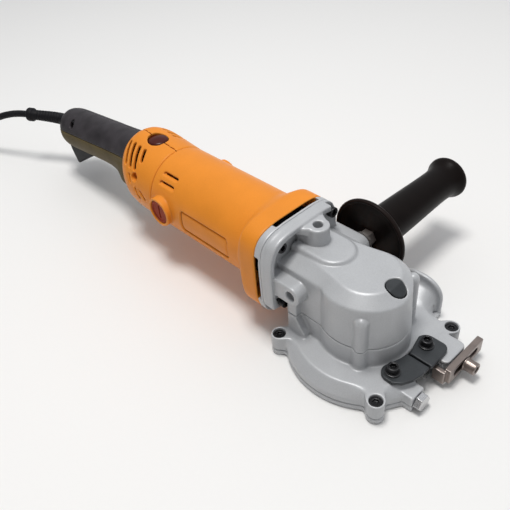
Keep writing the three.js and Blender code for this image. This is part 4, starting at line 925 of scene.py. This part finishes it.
def handle_shell(upper):
    def shape(X, Y, Z):
        back, rise = handle_frame(X, Z)
        body = meet(handle_shape(back, Y, rise), back - HANDLE_LENGTH, 2.5)
        inside = np.maximum(handle_shape(back, Y, rise, HANDLE_WALL), back - HANDLE_LENGTH + HANDLE_WALL)
        body = carve(body, inside, 0.4)
        crease = np.abs(np.degrees(np.arctan2(rise, Y)) - CREASE_ANGLE) * CREASE_STEP - 0.5
        crease = np.maximum(np.maximum(crease, -0.6 - handle_shape(back, Y, rise)), back - 138)
        body = carve(body, crease, 0.3)
        seam = rise - SEAM_RISE
        body = meet(body, (0.2 - seam) if upper else (seam + 0.2), 0.9)
        body = meet(body, X - COVER_REAR + GAP, 0.8)
        body = carve(body, extrude(disc(Y, rise, *RELIEF_SEAT), back, 130, 170), 0.8)
        if upper:
            return carve(body, extrude(disc(back, rise, *HANDLE_SCREW, HANDLE_SCREW_R), -Y, 4, 50), 0.8)
        mouth = TRIGGER_HALF + 0.6
        return carve(body, block(X, Y, Z, *TRIGGER_MOUTH, -mouth, mouth, 10, 50, 1.5), 1.0)

    return shape


TRIGGER = [
    (-355.5, 43), (-356.5, 49.5), (-362, 51), (-396, 47), (-406.5, 41), (-405.5, 32), (-398.6, 15.8),
    (-396.5, 15.8), (-372, 31.5), (-359, 38.6),
]


def trigger(X, Y, Z):
    return extrude(polygon(X, Z, TRIGGER), Y, -TRIGGER_HALF, TRIGGER_HALF, 2.2)


def make_handle():
    low, high = (-416, -24, 54), (-266, 24, 93)
    shape = handle_shell(upper=True)
    sculpt("handle_upper_shell", low, high, 0.8, shape, "charcoal", "charcoal_handle", "handle_upper")
    low, high = (-416, -32, 26), (-266, 32, 76)
    shape = handle_shell(upper=False)
    # Lower shell: charcoal nylon with painted ground reflection and painted underside shade in its colour.
    sculpt("handle_lower_shell", low, high, 0.8, shape, "painted_underside_reflection", "charcoal_handle", "handle_lower")
    low, high = (-408, -13.8, 14.6), (-354, 13.8, 52.5)
    sculpt("trigger_paddle", low, high, 0.6, trigger, "black", "black_plastic", "trigger")


# ---- side handle, as radius and distance along its axis ----
GRIP_PROFILE = [
    (0.3, 100.3), (STUD_R, 100.3), (STUD_R, 56), (13.6, 56), (14.6, 56.3), (15.4, 57.4), (16.0, 60),
    (16.25, 66), (16.2, 76), (15.9, 90), (15.4, 106), (14.9, 122), (14.6, 134), (14.6, 143), (15.0, 148),
    (16.0, 152.3), (17.6, 155.2), (18.5, 157.3), (18.7, 159), (18.2, 160.5), (16.9, 161.0), (14.5, 160.6),
    (11, 159.6), (6, 158.9), (0.3, 158.7),
]
DISC_PROFILE = [
    (STUD_R, 50.2), (29, 50.2), (29.8, 49.8), (30.6, 48.7), (31.6, 48.4), (32.6, 48.7), (33, 49.8),
    (32.9, 51.3), (32.0, 52.5), (28, 52.9), (18.6, 53.4), (16.4, 53.9), (15.4, 55.0), (14.6, 55.7),
    (STUD_R, 55.7),
]


def make_side_handle():
    place = (SIDE_BOSS_X, 0, MOTOR_Z)
    look = ("grip", "black_plastic")
    lathe("side_handle_grip_body", GRIP_PROFILE, 1, place, *look, "side_handle_grip")
    lathe("side_handle_disc_body", DISC_PROFILE, 1, place, *look, "side_handle_disc", closed=True)


# ---- screws, bolts, buttons and caps ----
def cap_screw(name, axis, place, r, low, high, socket, depth, look, slot, shank, washer=None):
    """A socket screw: its head from low to high along an axis, shank and washer as (radius, low, high)."""
    others = [(axis + 1) % 3, (axis + 2) % 3]

    def shape(*grid):
        u, v = grid[others[0]] - place[others[0]], grid[others[1]] - place[others[1]]
        w = grid[axis]
        round_ = np.hypot(u, v)
        head = extrude(round_ - r, w, low, high, 0.7)
        turn = np.arctan2(v, u)
        knurl = np.maximum(0.12 * np.cos(turn * 30), 0) * (np.abs(w - (low + high) / 2) < (high - low) * 0.36)
        head = head + knurl
        if washer:
            head = np.minimum(head, extrude(round_ - washer[0], w, washer[1], washer[2], 0.3))
        head = np.minimum(head, extrude(round_ - shank[0], w, shank[1], shank[2], 0.2))
        return carve(head, extrude(hexagon(u, v, socket), w, high - depth, high + 5), 0.4)

    reach = max(r, washer[0] if washer else 0) + 1
    start = min(low, washer[1] if washer else low, shank[1])
    corner, other = [0, 0, 0], [0, 0, 0]
    corner[axis], other[axis] = start - 0.8, high + 0.8
    for k in others:
        corner[k], other[k] = place[k] - reach, place[k] + reach
    sculpt(f"{name}_body", corner, other, 0.3, shape, look, slot, name)


def make_screws():
    black, bright = ("oxide", "screw_black"), ("steel", "bright_steel")
    for i, place in enumerate(SCREW_PLACES):
        name = f"case_screw_{i + 1}"
        cap_screw(name, 2, (*place, 0), CASE_SCREW_R, 13.7, 17.2, 2.2, 1.8, *black, shank=(2.2, 2, 14))
    for i, place in enumerate(HEAD_SCREWS):
        name = f"head_screw_{i + 1}"
        cap_screw(name, 0, (0, *place), HEAD_SCREW_R, -59.7, -54.2, 2.2, 2.8, *black, shank=(2.45, -80, -59))
    for side, place, top in (("right", PLATE_SCREW_RIGHT, 21.8), ("left", PLATE_SCREW_LEFT, 22.6)):
        shank, washer = (2.5, 13.2, top + 1), (5.6, top + 0.3, top + 1.4)
        low, high = top + 1, top + 6.5
        cap_screw(f"plate_screw_{side}", 2, (*place, 0), 4.2, low, high, 2.3, 3, *black, shank, washer)
    shank, washer = (2.9, 54, 71), (5.2, 69.3, 70.4)
    cap_screw("stopper_bolt", 0, (0, *STOPPER_BOLT), 4.9, 70.3, 78.5, 2.7, 3.5, *bright, shank, washer)


def hex_bolt(X, Y, Z):
    y, z = Y - HEX_BOLT[0], Z - HEX_BOLT[1]
    round_ = np.hypot(y, z)
    flats = extrude(hexagon(z, y, 5.95), X, 61.9, 67, 0.3)
    head = meet(flats, round_ + (X - 67) * 0.6 - 7.1, 0.4)
    return np.minimum(head, extrude(round_ - 3.9, X, 53, 62.5, 0.2))


def lock_button(X, Y, Z):
    body = extrude(disc(X, Y, LOCK_X, 0, 6.9), Z, 70.2, 90, 0.5)
    slope = ((X - LOCK_X) * 7.4 + (Z - LOCK_TOP) * 10.9) / 13.17
    body = meet(meet(body, slope, 0.5), Z - LOCK_TOP, 0.5)
    return np.minimum(body, extrude(disc(X, Y, 19.3, 0, 2.2), Z, 67.6, 72, 0.2))


def rear_button(X, Y, Z):
    away = disc(X, Y, BUTTON_X, 0, BUTTON_HOLE_R - 0.4)
    collar = extrude(away - 1.2, Z, BUTTON_FOOT, BUTTON_FOOT + 2, 0.4)
    stem = extrude(away, Z, BUTTON_FOOT, BUTTON_TOP, 1.0)
    dome = np.sqrt((away + BUTTON_HOLE_R) ** 2 + (Z - 80) ** 2) - 18.8
    return np.minimum(collar, blend(meet(stem, Z - BUTTON_TOP, 1.2), np.maximum(dome, away + 1.4), 1.5))


def brush_cap(sign):
    def shape(X, Y, Z):
        away = disc(X, Z, BRUSH_X, MOTOR_Z, BRUSH_HOLE_R - GAP)
        body = extrude(away, sign * Y, 37.2, 40.4, 0.6)
        dish = extrude(away + 2.2, sign * Y, 39.8, 45)
        slot = rect(X, Z, BRUSH_X - 0.9, BRUSH_X + 0.9, MOTOR_Z - 6.5, MOTOR_Z + 6.5, 0.3)
        return carve(carve(body, dish, 0.4), extrude(slot, sign * Y, 38.7, 45), 0.3)

    return shape


def make_controls():
    low, high = (52.3, -26, -0.6), (68, -11, 15)
    sculpt("lug_hex_bolt_body", low, high, 0.3, hex_bolt, "ground", "bright_steel", "lug_hex_bolt")
    low, high = (15.5, -8, 66.8), (31.5, 8, 79.6)
    sculpt("lock_button_body", low, high, 0.3, lock_button, "plate", "black_plastic", "spindle_lock_button")
    low, high = (BUTTON_X - 11.4, -11.4, 88.4), (BUTTON_X + 11.4, 11.4, 99.9)
    sculpt("rear_button_body", low, high, 0.35, rear_button, "maroon", "maroon_button", "rear_button")
    for side, sign in (("left", 1), ("right", -1)):
        y0, y1 = sorted((36.4 * sign, 41.2 * sign))
        low, high = (BRUSH_X - 11.6, y0, 47), (BRUSH_X + 11.6, y1, 70.4)
        name = f"brush_cap_{side}"
        sculpt(f"{name}_body", low, high, 0.3, brush_cap(sign), "cap", "cap_brown", name)


# ---- guard plates and stopper ----
def arc(cx, cy, r, start, end, count):
    angles = [math.radians(start + (end - start) * i / count) for i in range(count + 1)]
    return [(cx + r * math.cos(a), cy + r * math.sin(a)) for a in angles]


GUARD_RIGHT = arc(*PLATE_SCREW_RIGHT, 8, 165, 262, 16) + [
    (46, -28.6), (51.4, -24.6), (55.3, -17), (57, -9), (57.3, -0.4), (38.2, -0.4), (37.3, -6.5), (35, -13.5),
]
GUARD_LEFT = [(57.6, 0.6), (58.2, 2), (58, 12)]
GUARD_LEFT += arc(52, 19, 5.6, 0, 90, 8) + arc(43, 16.6, 8, 90, 170, 12) + [(37.2, 9), (39.8, 0.6)]


def guard_plate(outline, hole, low, high):
    def shape(X, Y, Z):
        flat = polygon(X, Y, outline)
        bore = extrude(disc(X, Y, *hole, PLATE_HOLE_R), Z, 10, 30)
        return carve(extrude(flat, Z, low, high, 0.7), bore, 0.4)

    return shape


def stopper(X, Y, Z):
    bar = block(X, Y, Z, 63.9, 69, 8.4, 51.2, 4.9, 17.7, 0.5)
    leg = block(X, Y, Z, 56.2, 66, 5.4, 9.2, 4.6, 16.2, 0.5)
    middle = STOPPER_BOLT[1]
    slot = extrude(segment(Y, Z, (17.3, middle), (41.5, middle), STOPPER_BORE_R), X, 60, 75)
    return carve(np.minimum(bar, leg), slot, 0.5)


def make_guards():
    foot, look = CASE_TOP + GAP, ("plate", "guard_plate")
    shape = guard_plate(GUARD_RIGHT, PLATE_SCREW_RIGHT, foot, foot + 2.8)
    low, high = (32, -30, 18.3), (58.2, 0.5, 22.6)
    sculpt("guard_plate_right_body", low, high, 0.38, shape, *look, "guard_plate_right")
    shape = guard_plate(GUARD_LEFT, PLATE_SCREW_LEFT, foot, foot + 3.6)
    low, high = (34, -0.4, 18.3), (59, 25.6, 23.4)
    sculpt("guard_plate_left_body", low, high, 0.38, shape, *look, "guard_plate_left")
    low, high = (55.4, 4.6, 3.8), (69.8, 52, 18.5)
    sculpt("stopper_bar", low, high, 0.42, stopper, "steel", "bright_steel", "stopper")


# ---- cord, strain relief and plug ----
def sweep(name, route, radii, sides, look, slot, *nodes):
    """A closed round tube along a smooth route, radii given as (share of the length, radius)."""
    route = np.array(route, float)
    steps, near = 160, 0.02
    line = []
    for spot in np.linspace(0, len(route) - 1, steps):
        i = min(int(spot), len(route) - 2)
        t = spot - i
        p0, p1, p2, p3 = route[max(i - 1, 0)], route[i], route[i + 1], route[min(i + 2, len(route) - 1)]
        curve = (2 * p0 - 5 * p1 + 4 * p2 - p3) * t**2 + (3 * p1 - p0 - 3 * p2 + p3) * t**3
        line.append(0.5 * (2 * p1 + (p2 - p0) * t + curve))
    line = np.array(line)
    lengths = np.concatenate([[0], np.cumsum(np.linalg.norm(np.diff(line, axis=0), axis=1))])

    def point(share):
        return np.array([np.interp(share * lengths[-1], lengths, line[:, k]) for k in range(3)])

    angles = np.linspace(0, 2 * math.pi, sides, endpoint=False)
    rings = []
    for s, r in radii:
        ahead, behind = point(min(s + near, 1)), point(max(s - near, 0))
        way = (ahead - behind) / np.linalg.norm(ahead - behind)
        side = np.cross(way, (0, 0, 1))
        side /= np.linalg.norm(side)
        up = np.cross(side, way)
        rings.append(point(s) + r * (np.outer(np.cos(angles), side) + np.outer(np.sin(angles), up)))
    return add_mesh(name, np.concatenate(rings), tube_faces(len(rings), sides), look, nodes, slot)


def make_relief():
    radii = [(0.0, 0.05), (0.0, 6.8), (0.02, 7.2)]
    grooves = 9
    groove = [(0.12, 0.9), (0.32, 0.9), (0.44, 0.1)]
    for i in range(grooves):
        s = 0.34 + 0.5 * i / grooves
        r = 7.2 - 1.8 * s
        width = 0.5 / grooves
        radii += [(s, r)] + [(s + width * ahead, r - deep) for ahead, deep in groove]
    radii += [(0.885, 5.6), (0.895, 7.0), (0.905, 7.5), (0.985, 7.6), (0.998, 7.2), (1.0, 6.4), (1.0, 0.05)]
    sweep("strain_relief_sleeve", RELIEF_ROUTE, radii, 40, "rubber", "black_plastic", "strain_relief")


def coil_turns():
    """Two flat layers, in along the floor and out on top, a diameter further at one place in each turn."""
    start = math.degrees(math.atan2(CORD_ROUTE[-1][1] - COIL_CENTRE[1], CORD_ROUTE[-1][0] - COIL_CENTRE[0]))
    end = 280.0 + 360 * 7
    step_turn = 90
    inward = [270, 630, 990]
    climb = 1260
    outward = [1530, 1890, 2250]

    def step(along, begin):
        return ease(min(max((along - begin) / step_turn, 0.0), 1.0))

    points = []
    count = 125
    for i in range(1, count):
        turn = start + (end - start) * i / count
        along = turn - start
        steps_in = sum(step(along, begin) for begin in inward)
        steps_out = sum(step(along, begin) for begin in outward)
        r = COIL_OUTER_R - CORD_D * steps_in + CORD_D * steps_out
        z = CORD_D / 2 + CORD_D * step(along, climb)
        a = math.radians(turn)
        points.append((COIL_CENTRE[0] + r * math.cos(a), COIL_CENTRE[1] + r * math.sin(a), z))
    return points


def make_cord():
    points = CORD_ROUTE + coil_turns() + TAIL_ROUTE
    curve = bpy.data.curves.new("mains_cord", "CURVE")
    curve.dimensions = "3D"
    curve.bevel_depth = CORD_D / 2 * MM
    curve.bevel_resolution = 6
    curve.resolution_u = 6
    curve.use_fill_caps = True
    spline = curve.splines.new("BEZIER")
    spline.bezier_points.add(len(points) - 1)
    for knot, place in zip(spline.bezier_points, points):
        knot.co = Vector(place) * MM
        knot.handle_left_type = knot.handle_right_type = "AUTO"
    cord = bpy.data.objects.new("mains_cord", curve)
    curve.materials.append(LOOKS["rubber"])
    bpy.context.scene.collection.objects.link(cord)
    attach(cord, "tool")
    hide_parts("power_cord", "cord_coil")
    plug = make_plug()


def make_plug():
    """Two-pin plug with a ribbed neck, lying flat."""
    way = np.array([0.99, 0.14, 0.0])
    way /= np.linalg.norm(way)
    across = np.array([-way[1], way[0], 0.0])
    tail = np.array(TAIL_ROUTE[-1])

    def shape(X, Y, Z):
        u = (X - tail[0]) * way[0] + (Y - tail[1]) * way[1] + 1
        v = (X - tail[0]) * across[0] + (Y - tail[1]) * across[1]
        w = Z - tail[2]
        neck_r = 6 + 0.1 * np.clip(u, 0, 12) - 0.7 * (np.cos(u * 2.4) > 0.2) * (u < 11)
        neck = extrude(np.hypot(v, w) - neck_r, u, 0, 14, 0.3)
        t = ease(np.clip((u - 11) / 18, 0, 1))
        wide, tall = 12.6 + 4.9 * t, 8.3 + 0.9 * t
        k = ((np.abs(v) / wide) ** 2.6 + (np.abs(w) / tall) ** 2.6) ** (1 / 2.6)
        body = meet((k - 1) * 8, np.maximum(11 - u, u - PLUG_LENGTH), 1.5)
        grip = np.maximum(np.abs(np.abs(v) - wide) - 0.8, np.abs(np.mod(u, 3.0) - 1.5) - 0.6)
        body = carve(body, np.maximum(grip, np.maximum(26 - u, u - 42)), 0.5)
        body = blend(body, neck, 1.5)
        pins = extrude(np.hypot(np.abs(v) - PIN_SPREAD, w) - PIN_R, u, PLUG_LENGTH - 1, PIN_END, 0.9)
        return np.minimum(body, pins)

    low = (tail[0] - 6, tail[1] - 22, tail[2] - 10.5)
    high = (tail[0] + 70, tail[1] + 30, tail[2] + 10.5)
    return sculpt("plug_body", low, high, 0.55, shape, "rubber", "cord_rubber", "plug")


# ---- CAD nodes that stay as they are ----
INNER_LOOKS = {
    "blade": ["blade"],
    "oxide": ["blade_bolt"],
    "ground": [
        "blade_flange", "spindle", "spindle_gear", "spindle_bearing_lower", "spindle_bearing_upper",
        "intermediate_shaft", "bevel_gear", "shaft_bearing_lower", "shaft_bearing_upper", "bevel_pinion",
        "armature_shaft", "motor_bearing_front", "motor_bearing_rear",
    ],
    "iron": ["field_core", "armature_core"],
    "copper": ["commutator"],
    "brass": ["brush_holder_left", "brush_holder_right"],
    "black": ["fan", "switch_body", "handle_screw"],
    "steel": ["side_handle_stud"],
}
EDGE_BEVEL = 0.25
SHARP = math.radians(35)


def dress_inner_nodes():
    """Finishes and fine bevels for the machined parts inside and the stud."""
    for look, names in INNER_LOOKS.items():
        for name in names:
            node = NODES[name]
            node.data.materials.clear()
            node.data.materials.append(LOOKS[look])
            bevel = node.modifiers.new("edges", "BEVEL")
            bevel.width = EDGE_BEVEL * MM
            bevel.segments = 2
            bevel.limit_method = "ANGLE"
            bevel.angle_limit = SHARP


LOOKS = make_looks()
add_camera()
make_cord()
make_relief()
add_studio()
add_floor()
make_case()
make_head()
make_motor()
make_handle()
make_side_handle()
make_screws()
make_controls()
make_guards()
dress_inner_nodes()
